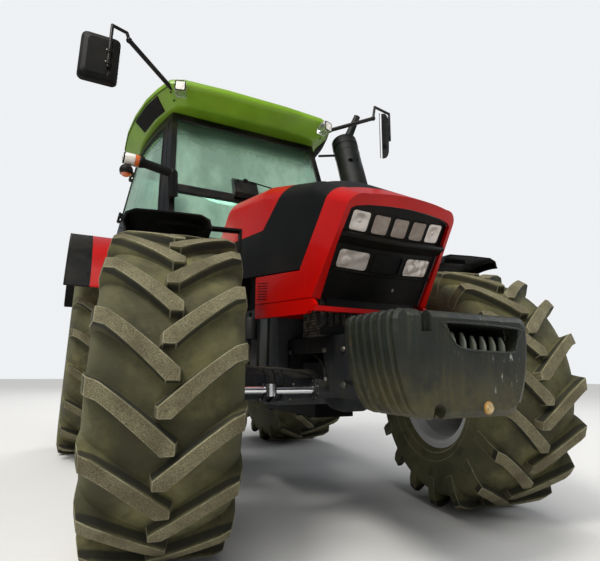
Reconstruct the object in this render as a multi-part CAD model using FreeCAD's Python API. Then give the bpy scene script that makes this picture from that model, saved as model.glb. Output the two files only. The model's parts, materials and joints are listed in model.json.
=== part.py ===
import FreeCAD, Part
import math
import os

# Frame: millimetres, front of the tractor toward -Y, +X its left side, +Z up.
# The origin lies on the ground in the middle of the overall box.

V = FreeCAD.Vector

# Layout along the tractor
FRONT_OVERHANG = 960.0
WHEELBASE = 2745.0
REAR_OVERHANG = 1200.0
LENGTH = FRONT_OVERHANG + WHEELBASE + REAR_OVERHANG
F = FRONT_OVERHANG - LENGTH / 2
R = F + WHEELBASE

# Running clearances
WORK_GAP = 6.0
SEAM_GAP = 6.0
PIN_GAP = 0.3
BEYOND = 1400.0

# Wheels
FRONT_RADIUS = 693.0
FRONT_WIDTH = 546.0
FRONT_TRACK = 1814.0
FRONT_RIM_RADIUS = 356.0
FRONT_LUGS = 18
FRONT_PHASE = -4.0
REAR_RADIUS = 925.0
REAR_WIDTH = 660.0
REAR_TRACK = 1990.0
REAR_RIM_RADIUS = 483.0
REAR_LUGS = 20
LUG_HEIGHT = 48.0
LUG_ROOT = 75.0
HUB_RADIUS = 71.0
HUB_GAP = 1.0
DISC_DEPTH = 76.0
DISC_WALL = 16.0
FLANGE = 14.0
FRONT_DISC_X = 120.0
REAR_DISC_X = 60.0
WHEEL_BOLTS = 8

# Steering
KINGPIN_OFFSET = 90.0
STEER_REST = -10.0
STEER_ARM = 170.0
KINGPIN_X = FRONT_TRACK / 2 - KINGPIN_OFFSET
STEER_ROD_RADIUS = 20.0
STEER_ROD_Y = F - 160.0
STEER_ROD_Z = 672.0
ROD_END = 430.0

# Front axle and frame
AXLE_TUBE_RADIUS = 75.0
AXLE_PIN_Z = 745.0
AXLE_PIN_RADIUS = 35.0
KNUCKLE_HALF = 112.0
YOKE_TOP = 158.0
YOKE_HALF = 60.0
YOKE_IN = 170.0
YOKE_OUT = 45.0
PIN_RADIUS = 34.0
FRAME_HALF = 190.0
FRAME_BOTTOM = 560.0
FRAME_TOP = 930.0
FRAME_NOSE = F - 560.0

# Front fenders, which turn with the wheels
FRONT_FENDER_RADIUS = 808.0
FRONT_FENDER_WALL = 8.0
FRONT_FENDER_OUT = 45.0
FRONT_FENDER_START = -8.0
FRONT_FENDER_END = 52.0

# Ballast
PLATE_COUNT = 7
PLATE_THICKNESS = 50.0
PLATE_PITCH = PLATE_THICKNESS + PIN_GAP
PLATE_ROUND = 13.0
PLATE_HALF = 334.0
PLATE_BOTTOM = 602.0
PLATE_TOP = 984.0
BALLAST_FRONT = F - FRONT_OVERHANG
BALLAST_BACK = BALLAST_FRONT + PLATE_COUNT * PLATE_PITCH
CARRIER_HALF = 120.0
CARRIER_BOTTOM = 700.0
CARRIER_TOP = 760.0
FRONT_PLATE_COVER = 25.0

# Nose face, given by its top edge and its bottom edge
NOSE_TOP_Y = F - 645.0
NOSE_TOP_Z = 1470.0
NOSE_BOTTOM_Y = F - 370.0
NOSE_BOTTOM_Z = 1065.0
NOSE_PLAN_RADIUS = 1600.0
NOSE_THICKNESS = 45.0
NOSE_RECESS = 24.0
NOSE_FRAME_DEPTH = 70.0
RECESS_HALF = 300.0
CELL_PITCH = 107.0
CELL_HALF = 44.0
CELL_TOP = 34.0
CELL_BOTTOM = 128.0
LEDGE_TOP = 136.0
LEDGE_BOTTOM = 200.0
LEDGE_OUT = 14.0
LAMP_AT = 186.0
LAMP_HALF = 78.0
LAMP_TOP = 224.0
LAMP_BOTTOM = 314.0
LENS = 12.0

# Hood
HOOD_WALL = 22.0
HOOD_LOW = 900.0
HOOD_REAR = F + 900.0
HOOD_HINGE_Y = F + 590.0
HOOD_HINGE_Z = 1830.0
HOOD_TUBE_RADIUS = 16.0
BAND_FOOT_Y = F - 231.0
BAND_FOOT_Z = 1250.0
BULKHEAD_Y = F + 760.0
HINGE_POST_X = 222.0
CHIN = 22.0

# Cab
CAB_HALF = 980.0
CAB_WAIST_Z = 2200.0
CAB_PLAN_RADIUS = 4200.0
CAB_TUMBLE = 0.158
CAB_WALL = 40.0
CAB_FLOOR = 1240.0
CAB_DECK = 45.0
CAB_FRONT = F + 900.0
CAB_REAR = R + 400.0
ROOF_BOTTOM = 3010.0
PILLAR_TOP_Y = F + 1680.0
PILLAR_TOP_Z = ROOF_BOTTOM
SCREEN_SLOPE = 0.375
SCREEN_OUT = 30.0
SCREEN_LOW = 1750.0
DIVIDER_Z = 2150.0
DIVIDER = 65.0
SCREEN_TOP = PILLAR_TOP_Z - 60.0
REAR_PANE_LOW = 2030.0
REAR_PANE_TOP = PILLAR_TOP_Z - 70.0
HINGE_Y = R + 20.0
HINGE_OUT = 22.0
HINGE_BARREL = 13.0
HINGE_PIN = 6.0
HINGE_HEIGHTS = (2300.0, PILLAR_TOP_Z - 230.0)
DOOR_GAP = 8.0
DOOR_BOTTOM = 1350.0
DOOR_BORDER = 70.0
DOOR_WALL = 36.0
HANDLE_Z = 1870.0
GLASS = 6.0
WELL = 640.0

# Roof
ROOF_EDGE = ROOF_BOTTOM + 110.0
ROOF_SHOULDER = ROOF_BOTTOM + 185.0
ROOF_TOP = ROOF_BOTTOM + 260.0

# Rear fenders
FENDER_RADIUS = 1100.0
FENDER_WALL = 15.0
FENDER_INNER = 700.0
FENDER_OUTER = 1225.0
EXTENSION_OUTER = 1405.0
FENDER_START = -65.0
FENDER_END = 62.0

# Rear linkage
LINK_PIVOT_Y = R + 150.0
LINK_PIVOT_Z = 480.0
LINK_LENGTH = 1009.0
LINK_REST = 5.0
LINK_ROOT_X = 250.0
LINK_END_X = 480.0
LINK_BAR = 26.0
LINK_EYE = 44.0
LINK_PIN_RADIUS = 20.0
BALL_BORE = 18.7
BALL_HALF = 25.0
ROD_AT = 570.0
LIFT_ARM_X = 278.0
LIFT_ARM_WALL = 16.0
LIFT_ROD_X = 318.0
LIFT_PIN = 14.0
SHAFT_Y = R + 400.0
SHAFT_Z = 1050.0
SHAFT_RADIUS = 45.0
LIFT_ARM = 320.0
PTO_Z = 700.0
PTO_RADIUS = 17.5
DRAWBAR_Z = 390.0
DRAWBAR_HALF = 20.0
DRAWBAR_END = R + 620.0
DRAWBAR_BORE = 16.5

# Exhaust beside the left front pillar
EXHAUST_X = 1010.0
EXHAUST_RADIUS = 125.0
EXHAUST_TOP = PILLAR_TOP_Z + 50.0
EXHAUST_LENGTH = 1100.0
EXHAUST_CLEAR = 60.0
EXHAUST_LEAN = 0.02
EXHAUST_PIPE = 55.0
OUTLET_RISE = 360.0

# Mirrors
MIRROR_WIDTH = 285.0
MIRROR_HEIGHT = 400.0
MIRROR_DEPTH = 70.0
MIRROR_TUBE = 13.0
MIRROR_REACH = 1487.5


def mirror(shape):
    return shape.mirror(V(0, 0, 0), V(1, 0, 0))


def both(shape):
    return Part.makeCompound([shape, mirror(shape)])


def on_side(shape, side):
    return shape if side > 0 else mirror(shape)


def box(x0, x1, y0, y1, z0, z1):
    return Part.makeBox(x1 - x0, y1 - y0, z1 - z0, V(x0, y0, z0))


def rod(p, q, r):
    p, q = V(*p), V(*q)
    return Part.makeCylinder(r, (q - p).Length, p, q - p)


def face(points):
    points = [V(*p) for p in points]
    return Part.Face(Part.makePolygon(points + points[:1]))


def side_prism(points, x0, x1):
    return face([(x0, y, z) for y, z in points]).extrude(V(x1 - x0, 0, 0))


def front_prism(points, y0, y1):
    return face([(x, y0, z) for x, z in points]).extrude(V(0, y1 - y0, 0))


def plan_prism(points, z0, z1):
    return face([(x, y, z0) for x, y in points]).extrude(V(0, 0, z1 - z0))


def ruled(sections):
    """A solid of flat sides through closed outlines with the same number of corners."""
    wires = [Part.makePolygon([V(*p) for p in section + section[:1]]) for section in sections]
    return Part.makeLoft(wires, True, True)


def union(shapes):
    return shapes[0].multiFuse(shapes[1:]).removeSplitter()


def turned(profile):
    rim = face([(x, 0, r) for x, r in profile])
    return rim.revolve(V(0, 0, 0), V(1, 0, 0), 360)


def bent_rod(points, radius):
    """A round bar through given points, its bends filled by balls."""
    pieces = []
    for p, q in zip(points, points[1:]):
        pieces.append(rod(p, q, radius))
    for p in points[1:-1]:
        pieces.append(Part.makeSphere(radius, V(*p)))
    return union(pieces)


def moved(shape, x=0, y=0, z=0):
    shape = shape.copy()
    shape.translate(V(x, y, z))
    return shape


def rotated(shape, centre, axis, angle):
    shape = shape.copy()
    shape.rotate(V(*centre), V(*axis), angle)
    return shape


def rounded(x0, x1, y0, y1, radius):
    """The corners of a rectangle with rounded corners, in order round it."""
    corners = ((x1 - radius, y1 - radius, 0), (x0 + radius, y1 - radius, 90),
               (x0 + radius, y0 + radius, 180), (x1 - radius, y0 + radius, 270))
    points = []
    for x, y, start in corners:
        for turn in (0, 30, 60, 90):
            angle = math.radians(start + turn)
            points.append((x + radius * math.cos(angle), y + radius * math.sin(angle)))
    return points


PARTS = {}


def keep(name, shape):
    PARTS[name] = shape


# Tyres: a faceted casing with one facet per lug, and chevron bars on both halves
def tyre_casing(radius, width, rim_radius, lugs):
    carcass = radius - LUG_HEIGHT
    half = width / 2
    # columns: share of the half width, radius
    outline = [
        (0.72, rim_radius), (0.97, rim_radius + 0.30 * (carcass - rim_radius)),
        (1.00, rim_radius + 0.62 * (carcass - rim_radius)),
        (0.93, carcass - 52), (0.60, carcass - 12),
    ]
    ring = [(half * a, r) for a, r in outline] + [(-half * a, r) for a, r in reversed(outline)]
    count = 2 * lugs
    rings = []
    for i in range(count):
        angle = 2 * math.pi * (i + 0.5) / count
        rings.append([V(x, -r * math.sin(angle), r * math.cos(angle)) for x, r in ring])
    faces = []
    for i in range(count):
        a, b = rings[i], rings[(i + 1) % count]
        for j in range(len(ring)):
            k = (j + 1) % len(ring)
            faces.append(Part.Face(Part.makePolygon([a[j], a[k], b[k], b[j], a[j]])))
    return Part.Solid(Part.Shell(faces))


def tyre_lug(radius, width, pitch, side):
    half = width / 2
    # columns: place across from the middle, place around toward the ground end, half height
    line = [(-0.10 * half, 0.56 * pitch, 41.0), (0.42 * half, 0.02 * pitch, 32.0),
            (0.985 * half, -0.42 * pitch, 32.0)]
    upper = [(side * u, v + t) for u, v, t in line]
    lower = [(side * u, v - t) for u, v, t in line]
    around = upper + lower[::-1]
    tip = math.sqrt(radius ** 2 - max(abs(v) for u, v in around) ** 2)
    base = radius - LUG_HEIGHT - LUG_ROOT
    return face([(u, -v, base) for u, v in around]).extrude(V(0, 0, tip - base))


def tyre(radius, width, rim_radius, lugs):
    casing = tyre_casing(radius, width, rim_radius, lugs)
    pitch = 2 * math.pi * radius / lugs
    bars = []
    for side, shift in ((1, 0.0), (-1, 0.5)):
        bar = tyre_lug(radius, width, pitch, side)
        for i in range(lugs):
            bars.append(rotated(bar, (0, 0, 0), (1, 0, 0), 360.0 * (i + shift) / lugs))
    return casing.multiFuse(bars)


def rim(radius, width, lugs, disc_x, disc_radius, hole_circle, hole_radius):
    half = 0.70 * width / 2
    outer = radius * math.cos(math.pi / (2 * lugs)) - PIN_GAP
    back = disc_x - DISC_DEPTH
    bore = HUB_RADIUS + HUB_GAP
    # columns: place across, radius; the barrel with its flanges, then the dished disc
    barrel = [
        (-half - FLANGE, outer - 6), (-half, outer), (half, outer), (half + FLANGE, outer - 6),
        (half + FLANGE, outer - 22), (half - 30, outer - 30), (disc_x + 40, outer - 62),
        (disc_x + 16, outer - 70), (disc_x - 55, disc_radius + 60), (back + DISC_WALL, disc_radius),
        (back + DISC_WALL, bore), (back, bore), (back, disc_radius + 4),
        (back + 5, disc_radius + 70), (disc_x - 4, outer - 72),
        (-half + 40, outer - 44), (-half - FLANGE, outer - 22),
    ]
    cutters = []
    for i in range(WHEEL_BOLTS):
        angle = 2 * math.pi * i / WHEEL_BOLTS
        y, z = hole_circle * math.cos(angle), hole_circle * math.sin(angle)
        cutters.append(rod((disc_x - 200, y, z), (disc_x + 100, y, z), hole_radius))
    return turned(barrel).cut(cutters)


def steered(shape, side):
    return rotated(shape, (side * KINGPIN_X, F, 0), (0, 0, 1), STEER_REST)


def wheels():
    front_tyre = tyre(FRONT_RADIUS, FRONT_WIDTH, FRONT_RIM_RADIUS, FRONT_LUGS)
    front_tyre = rotated(front_tyre, (0, 0, 0), (1, 0, 0), FRONT_PHASE)
    rear_tyre = tyre(REAR_RADIUS, REAR_WIDTH, REAR_RIM_RADIUS, REAR_LUGS)
    front_rim = rim(FRONT_RIM_RADIUS, FRONT_WIDTH, FRONT_LUGS, FRONT_DISC_X, 175.0, 215.0, 14.0)
    rear_rim = rim(REAR_RIM_RADIUS, REAR_WIDTH, REAR_LUGS, REAR_DISC_X, 240.0, 300.0, 20.0)
    for side, tag in ((1, "left"), (-1, "right")):
        for name, shape in (("tyre_front", front_tyre), ("rim_front", front_rim)):
            placed = moved(on_side(shape, side), side * FRONT_TRACK / 2, F, FRONT_RADIUS)
            keep(name + "_" + tag, steered(placed, side))
        for name, shape in (("tyre_rear", rear_tyre), ("rim_rear", rear_rim)):
            keep(name + "_" + tag, moved(on_side(shape, side), side * REAR_TRACK / 2, R, REAR_RADIUS))


# Front axle, knuckles and steering
def axle_yoke():
    z = FRONT_RADIUS
    near, far = KINGPIN_X - YOKE_IN, KINGPIN_X + YOKE_OUT
    front, back = F - YOKE_HALF, F + YOKE_HALF
    inner = KNUCKLE_HALF + WORK_GAP
    pin_bore = rod((KINGPIN_X, F, 0), (KINGPIN_X, F, BEYOND), PIN_RADIUS + PIN_GAP)
    return union([
        box(near, far, front, back, z + inner, z + YOKE_TOP),
        box(near, far, front, back, z - YOKE_TOP, z - inner),
        box(near, near + 50, front, back, z - YOKE_TOP, z + YOKE_TOP),
    ]).cut(pin_bore)


def front_axle():
    z = FRONT_RADIUS
    end = KINGPIN_X - YOKE_IN + 10
    differential = turned([(-110, 0), (-110, 80), (-60, 132), (0, 148), (110, 148), (170, 118), (215, 84), (215, 0)])
    beam = [
        rod((-end, F, z), (end, F, z), AXLE_TUBE_RADIUS),
        moved(differential, 40, F, z),
        box(-150, 150, F - 110, F + 110, z - 40, z + 110),
        rod((0, F - 245, AXLE_PIN_Z), (0, F + 215, AXLE_PIN_Z), AXLE_PIN_RADIUS),
    ]
    # columns: place of each collar along the tube, radius
    collars = ((330, 84), (380, 90), (430, 84))
    for side in (1, -1):
        for at, radius in collars:
            beam.append(rod((side * at, F, z), (side * (at + 22), F, z), radius))
        beam.append(on_side(axle_yoke(), side))
    return union(beam)


def knuckle(side):
    z = FRONT_RADIUS
    x = KINGPIN_X
    hub_x = FRONT_TRACK / 2 + FRONT_DISC_X - DISC_DEPTH - PIN_GAP
    top = z + YOKE_TOP + WORK_GAP
    body = [
        rod((x, F, z - KNUCKLE_HALF), (x, F, z + KNUCKLE_HALF), 62),
        rod((x, F, z), (hub_x, F, z), 100),
        rod((hub_x, F, z), (hub_x + 130, F, z), HUB_RADIUS),
        rod((x, F, z - YOKE_TOP), (x, F, top + 20), PIN_RADIUS),
        rod((x, F, top), (x, F, top + 20), 60),
        box(x - 30, x + 30, F - STEER_ARM - 34, F - 40, STEER_ROD_Z - 60, STEER_ROD_Z - 22 - WORK_GAP),
    ]
    return steered(on_side(union(body), side), side)


def front_fender(side):
    z = FRONT_RADIUS
    centre = FRONT_TRACK / 2 + FRONT_FENDER_OUT
    wall = FRONT_FENDER_WALL
    # columns: place across from the fender's middle, drop below its crown
    skin = [(-205, 62), (-192, 22), (-150, 2), (0, 0), (150, 2), (192, 22), (205, 62)]
    outer = [(centre + u, F, z + FRONT_FENDER_RADIUS - drop) for u, drop in skin]
    inner = [(x - math.copysign(wall, x - centre) if abs(x - centre) > 160 else x, y, h - wall)
             for x, y, h in reversed(outer)]
    plate = face(outer + inner)
    plate = rotated(plate, (0, F, z), (1, 0, 0), -FRONT_FENDER_START)
    plate = plate.revolve(V(0, F, z), V(1, 0, 0), FRONT_FENDER_START - FRONT_FENDER_END)
    post_x = FRONT_TRACK / 2 - FRONT_WIDTH / 2 - 54
    base = z + YOKE_TOP + WORK_GAP + 20
    under = FRONT_FENDER_RADIUS - wall
    front, back = F + 30, F + 90
    top = z + under - 22
    inside = Part.makeCylinder(under + 2, BEYOND, V(0, F, z), V(1, 0, 0))
    stay = union([
        plan_prism([(KINGPIN_X + YOKE_OUT, F - 30), (KINGPIN_X + YOKE_OUT, F + 30), (post_x, back), (post_x, front)],
                   base + PIN_GAP, base + 12),
        box(post_x, post_x + 12, front, back, base + PIN_GAP, top + 12),
        box(post_x, centre + 60, front, back, top, top + 12),
        box(centre - 120, centre + 60, front, back, top, top + 60).common(inside),
    ])
    return steered(on_side(union([plate, stay]), side), side)


def steering():
    y, z = STEER_ROD_Y, STEER_ROD_Z
    barrel = [rod((-190, y, z), (190, y, z), 42), box(-110, 110, y, F - 90, z - 36, z + 36)]
    for side in (1, -1):
        barrel.append(rod((side * 190, y, z), (side * 225, y, z), 50))
    bore = rod((-ROD_END, y, z), (ROD_END, y, z), STEER_ROD_RADIUS + PIN_GAP)
    keep("front_axle", union([front_axle()] + barrel).cut(bore))
    shift = STEER_ARM * math.radians(STEER_REST)
    eye_y = F - STEER_ARM * math.cos(math.radians(STEER_REST))
    run = [rod((-ROD_END, y, z), (ROD_END, y, z), STEER_ROD_RADIUS)]
    for side in (1, -1):
        joint_x, eye_x = side * ROD_END, side * KINGPIN_X
        run.append(rod((joint_x, y, z - 28), (joint_x, y, z + 28), 32))
        run.append(rod((joint_x, y, z), (eye_x, eye_y, z), 17))
        run.append(rod((eye_x, eye_y, z - 22), (eye_x, eye_y, z + 28), 34))
    keep("steering_rod", moved(union(run), shift))


# Engine, gearbox and frame, as plain blocks of the real place and size
def chassis():
    engine_front = F + 230
    gearbox_front = F + 1280
    axle_front = R - 200
    sump = union([
        box(-260, 260, engine_front + PIN_GAP, gearbox_front, 700, 1150),
        box(-170, 170, F + 260, F + 740, 1150, 1480),
        box(-200, 200, F + 350, gearbox_front - 30, FRAME_BOTTOM, 700),
    ])
    keep("engine_block", sump)
    arch = FRAME_BOTTOM + 290
    frame = [
        side_prism([(FRAME_NOSE, 640), (FRAME_NOSE, FRAME_TOP), (engine_front, FRAME_TOP), (engine_front, 620),
                    (F + 160, arch), (F - 180, arch), (F - 260, 640)], -FRAME_HALF, FRAME_HALF),
        box(-150, 150, BALLAST_BACK, FRAME_NOSE, 620, 960),
        box(-CARRIER_HALF, CARRIER_HALF, BALLAST_FRONT + FRONT_PLATE_COVER, FRAME_NOSE, CARRIER_BOTTOM, CARRIER_TOP),
    ]
    pin = rod((0, F - BEYOND, AXLE_PIN_Z), (0, F + BEYOND, AXLE_PIN_Z), AXLE_PIN_RADIUS + PIN_GAP)
    keep("front_frame", union(frame).cut(pin))
    keep("radiator", box(-240, 240, F - 250, F - 60, FRAME_TOP + PIN_GAP, 1400))
    gearbox = [box(-230, 230, gearbox_front + PIN_GAP, axle_front - PIN_GAP, 560, 1080)]
    axle = [box(-300, 300, axle_front, R + 200, 640, 1150)]
    disc_x = REAR_TRACK / 2 + REAR_DISC_X - DISC_DEPTH - PIN_GAP
    mount = 55
    for side in (1, -1):
        gearbox.append(rod((side * 160, F + 1400, 1060), (side * 160, F + 1400, CAB_FLOOR - PIN_GAP), mount))
        axle.append(rod((side * 230, R - 60, 1140), (side * 230, R - 60, CAB_FLOOR - PIN_GAP), mount))
        axle.append(rod((side * 200, R, REAR_RADIUS), (side * disc_x, R, REAR_RADIUS), 120))
        axle.append(rod((side * disc_x, R, REAR_RADIUS), (side * (disc_x + 90), R, REAR_RADIUS), HUB_RADIUS))
    keep("transmission", union(gearbox))
    keep("rear_axle", union(axle))


def plate_outline(inset, y):
    """The corners of a ballast plate's outline, drawn in by a distance."""
    # columns: place across, height; the right half from the bottom to the top
    half = [(200, 0), (240, 14), (264, 40), (290, 92), (312, 160), (326, 230), (334, 300), (333, 345),
            (326, 368), (306, 382)]
    around = half + [(-x, z) for x, z in reversed(half)]
    height = PLATE_TOP - PLATE_BOTTOM
    middle = (PLATE_TOP + PLATE_BOTTOM) / 2
    wide = (PLATE_HALF - inset) / PLATE_HALF
    tall = (height - 2 * inset) / height
    return [(x * wide, y, middle + (PLATE_BOTTOM + z - middle) * tall) for x, z in around]


def ballast():
    grip = [(-106, 942), (268, 934), (266, 890), (252, 856), (226, 840), (50, 841), (-50, 852),
            (-86, 884), (-104, 916)]
    front, back = BALLAST_FRONT - 10, BALLAST_BACK + 10
    openings = [
        front_prism(grip, front, back),
        box(-228, -181, front, back, 903, PLATE_TOP + 20),
        box(-CARRIER_HALF - PIN_GAP, CARRIER_HALF + PIN_GAP, BALLAST_FRONT + FRONT_PLATE_COVER - PIN_GAP, back,
            CARRIER_BOTTOM - PIN_GAP, CARRIER_TOP + PIN_GAP),
    ]
    for x, radius in ((-160, 26), (247, 22)):
        openings.append(rod((x, front, 630), (x, back, 630), radius))
        openings.append(box(x - radius, x + radius, front, back, PLATE_BOTTOM - 20, 630))
    plates = []
    for i in range(PLATE_COUNT):
        y = BALLAST_FRONT + i * PLATE_PITCH
        nose = PLATE_ROUND if i else 2 * PLATE_ROUND
        plate = ruled([
            plate_outline(nose, y), plate_outline(0.3 * nose, y + 0.35 * nose), plate_outline(0, y + nose),
            plate_outline(0, y + PLATE_THICKNESS - PLATE_ROUND), plate_outline(PLATE_ROUND, y + PLATE_THICKNESS)])
        plates.append(plate.cut(openings))
    keep("ballast_plates", Part.makeCompound(plates))


# Hood: sections of lines and arcs along the tractor
HOOD_SECTIONS = [
    # y, half width at bottom, at shoulder, shoulder z, top half width, top z, crown z
    (F - 720.0, 318.0, 300.0, 1415.0, 222.0, 1490.0, 1512.0),
    (F - 300.0, 350.0, 333.0, 1605.0, 232.0, 1710.0, 1745.0),
    (F + 200.0, 400.0, 380.0, 1740.0, 260.0, 1850.0, 1895.0),
    (HOOD_REAR, 450.0, 430.0, 1830.0, 300.0, 1940.0, 1985.0),
]


def hood_wire(y, bottom, shoulder, shoulder_z, top, top_z, crown, inset):
    bottom, shoulder, top = bottom - inset, shoulder - inset, top - inset
    shoulder_z, top_z, crown = shoulder_z - inset * 0.6, top_z - inset, crown - inset
    bulge = 0.22
    bulge_x = (shoulder + top) / 2 + bulge * (shoulder - top)
    bulge_z = (shoulder_z + top_z) / 2 + bulge * (top_z - shoulder_z)
    left, right = V(bottom, y, HOOD_LOW), V(-bottom, y, HOOD_LOW)
    edges = [
        Part.makeLine(right, V(-shoulder, y, shoulder_z)),
        Part.Arc(V(-shoulder, y, shoulder_z), V(-bulge_x, y, bulge_z), V(-top, y, top_z)).toShape(),
        Part.Arc(V(-top, y, top_z), V(0, y, crown), V(top, y, top_z)).toShape(),
        Part.Arc(V(top, y, top_z), V(bulge_x, y, bulge_z), V(shoulder, y, shoulder_z)).toShape(),
        Part.makeLine(V(shoulder, y, shoulder_z), left),
        Part.makeLine(left, right),
    ]
    return Part.Wire(edges)


def hood_solid(inset):
    return Part.makeLoft([hood_wire(*row, inset) for row in HOOD_SECTIONS], True, True)


# Nose plane: s runs down the face, n points out of it
NOSE_DOWN = V(0, NOSE_BOTTOM_Y - NOSE_TOP_Y, NOSE_BOTTOM_Z - NOSE_TOP_Z)
NOSE_HEIGHT = NOSE_DOWN.Length
NOSE_DOWN.normalize()
NOSE_OUT = V(0, NOSE_DOWN.z, -NOSE_DOWN.y)


def nose_point(x, s, n):
    return V(x, NOSE_TOP_Y, NOSE_TOP_Z) + NOSE_DOWN * s + NOSE_OUT * n


def nose_sweep(profile, x0, x1):
    """A profile of points down and out from the face, swept along its curve between two places across."""
    points = [nose_point(0, s, n) for s, n in profile]
    flat = Part.Face(Part.makePolygon(points + points[:1]))
    centre = nose_point(0, 0, -NOSE_PLAN_RADIUS)
    start, end = (math.degrees(math.asin(x / NOSE_PLAN_RADIUS)) for x in (x0, x1))
    flat.rotate(centre, NOSE_DOWN, start)
    swept = flat.revolve(centre, NOSE_DOWN, end - start)
    if swept.BoundBox.XMin < min(x0, x1) - 1 or swept.BoundBox.XMax > max(x0, x1) + 1:
        flat.rotate(centre, NOSE_DOWN, -2 * start)
        swept = flat.revolve(centre, NOSE_DOWN, start - end)
    return swept


def nose_slab(s0, s1, n0, n1, half=600.0):
    """A layer of the curved face, between two distances under and over it."""
    return nose_sweep([(s0, n0), (s1, n0), (s1, n1), (s0, n1)], -half, half)


def nose_prism(outline, depth=200.0):
    """An outline across and down the face, carried through it."""
    points = [nose_point(x, s, -depth) for x, s in outline]
    return Part.Face(Part.makePolygon(points + points[:1])).extrude(NOSE_OUT * 2 * depth)


def recess_outline(gap, bottom):
    """The recess of the nose, open at the bottom, with rounded top corners."""
    # columns: share of the half width, distance down the face
    half = [(0.0, -20), (0.35, -15), (0.68, -3), (0.88, 12), (0.96, 28), (1.0, 58)]
    right = [((RECESS_HALF - gap) * a, s + gap) for a, s in half]
    left = [(-x, s) for x, s in reversed(right[1:])]
    return left + right + [(RECESS_HALF - gap, bottom), (gap - RECESS_HALF, bottom)]


def nose_openings():
    """The outlines of the five cells and of the two headlamps."""
    cells, lamps = [], []
    for i in range(5):
        x = (i - 2) * CELL_PITCH
        cells.append(rounded(x - CELL_HALF, x + CELL_HALF, CELL_TOP, CELL_BOTTOM, 14))
    for side in (1, -1):
        x = side * LAMP_AT
        lamps.append(rounded(x - LAMP_HALF, x + LAMP_HALF, LAMP_TOP, LAMP_BOTTOM, 16))
    return cells, lamps


def band_zone():
    """The dark band in side view: it slants over the hood and runs back along its side."""
    return side_prism([
        (F - 805, 2066), (BAND_FOOT_Y + 18, BAND_FOOT_Z - 26), (BAND_FOOT_Y + 18, 1180), (F + 1000, 1180),
        (F + 1000, 1611), (F + 190, 1556), (F - 430, 2066)], -800, 800)


def hood_ears():
    ears = []
    bore = rod((-400, HOOD_HINGE_Y, HOOD_HINGE_Z), (400, HOOD_HINGE_Y, HOOD_HINGE_Z), HOOD_TUBE_RADIUS + PIN_GAP)
    for side in (1, -1):
        x = side * 200
        ear = box(x - 12, x + 12, HOOD_HINGE_Y - 45, HOOD_HINGE_Y + 30, HOOD_HINGE_Z - 30, 2200)
        ears.append(ear.common(hood_solid(HOOD_WALL - 2)).cut(bore))
    return ears


def nose_parts():
    """The dark panel with its ledge, and the lenses and grids set in it."""
    inner = hood_solid(HOOD_WALL + PIN_GAP)
    foot = NOSE_HEIGHT - 6
    back = -NOSE_RECESS - NOSE_THICKNESS
    window = nose_prism(recess_outline(PIN_GAP, foot))
    panel = nose_slab(-150, foot, back, -NOSE_RECESS).common(inner).common(window)
    ledge = nose_sweep([(LEDGE_TOP - 4, -NOSE_RECESS - 10), (LEDGE_TOP, LEDGE_OUT - 6), (LEDGE_TOP + 6, LEDGE_OUT),
                        (LEDGE_TOP + 16, LEDGE_OUT), (LEDGE_BOTTOM, -NOSE_RECESS), (LEDGE_BOTTOM, -NOSE_RECESS - 10)],
                       -420, 420)
    sill = nose_sweep([(LAMP_BOTTOM + 4, -NOSE_RECESS - 10), (LAMP_BOTTOM + 6, -NOSE_RECESS + 15),
                       (LAMP_BOTTOM + 12, -NOSE_RECESS + 15), (LAMP_BOTTOM + 22, -NOSE_RECESS),
                       (LAMP_BOTTOM + 22, -NOSE_RECESS - 10)], -420, 420)
    rails = [piece.common(inner).common(window) for piece in (ledge, sill)]
    cells, lamps = nose_openings()
    pockets = nose_slab(0, NOSE_HEIGHT, -NOSE_RECESS - 8, 100)
    lens = nose_slab(0, NOSE_HEIGHT, -NOSE_RECESS - 8 + PIN_GAP, -NOSE_RECESS - 8 + LENS)
    panel = union([panel] + rails)
    glasses = []
    for outline in cells + lamps:
        prism = nose_prism(outline)
        panel = panel.cut(prism.common(pockets))
        middle = (sum(p[0] for p in outline) / len(outline), sum(p[1] for p in outline) / len(outline))
        wide = max(p[0] for p in outline) - min(p[0] for p in outline)
        tall = max(p[1] for p in outline) - min(p[1] for p in outline)
        inset = [(middle[0] + (x - middle[0]) * (1 - 2 * PIN_GAP / wide),
                  middle[1] + (s - middle[1]) * (1 - 2 * PIN_GAP / tall)) for x, s in outline]
        glasses.append(nose_prism(inset).common(lens))
    grid = rounded(-80, 80, LAMP_TOP, LAMP_BOTTOM, 12)
    panel = panel.cut(nose_prism(grid).common(pockets))
    keep("nose_panel", panel)
    keep("nose_lamps", Part.makeCompound(glasses))


def hood():
    shell = hood_solid(0).cut(hood_solid(HOOD_WALL))
    ahead = nose_slab(-300, NOSE_HEIGHT + 200, 0, 600, 700)
    outline = side_prism([
        (NOSE_TOP_Y - 200, 2300), (NOSE_TOP_Y - 200, NOSE_BOTTOM_Z), (NOSE_BOTTOM_Y, NOSE_BOTTOM_Z),
        (BAND_FOOT_Y, BAND_FOOT_Z), (F + 560, 1320), (F + 880, 1360), (F + 900, 1640), (F + 620, 1990),
        (F + 620, 2300)], -700, 700)
    ring = hood_solid(0).common(nose_slab(-300, NOSE_HEIGHT + 200, -NOSE_FRAME_DEPTH, 0, 700))
    ring = ring.cut(nose_prism(recess_outline(0, NOSE_HEIGHT + 200), 400.0)).common(outline)
    shell = shell.common(outline).cut(ahead)
    zone = band_zone()
    keep("hood_band", shell.common(zone))
    keep("hood_panels", union([shell.cut(zone), ring] + hood_ears()))
    nose_parts()


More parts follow.
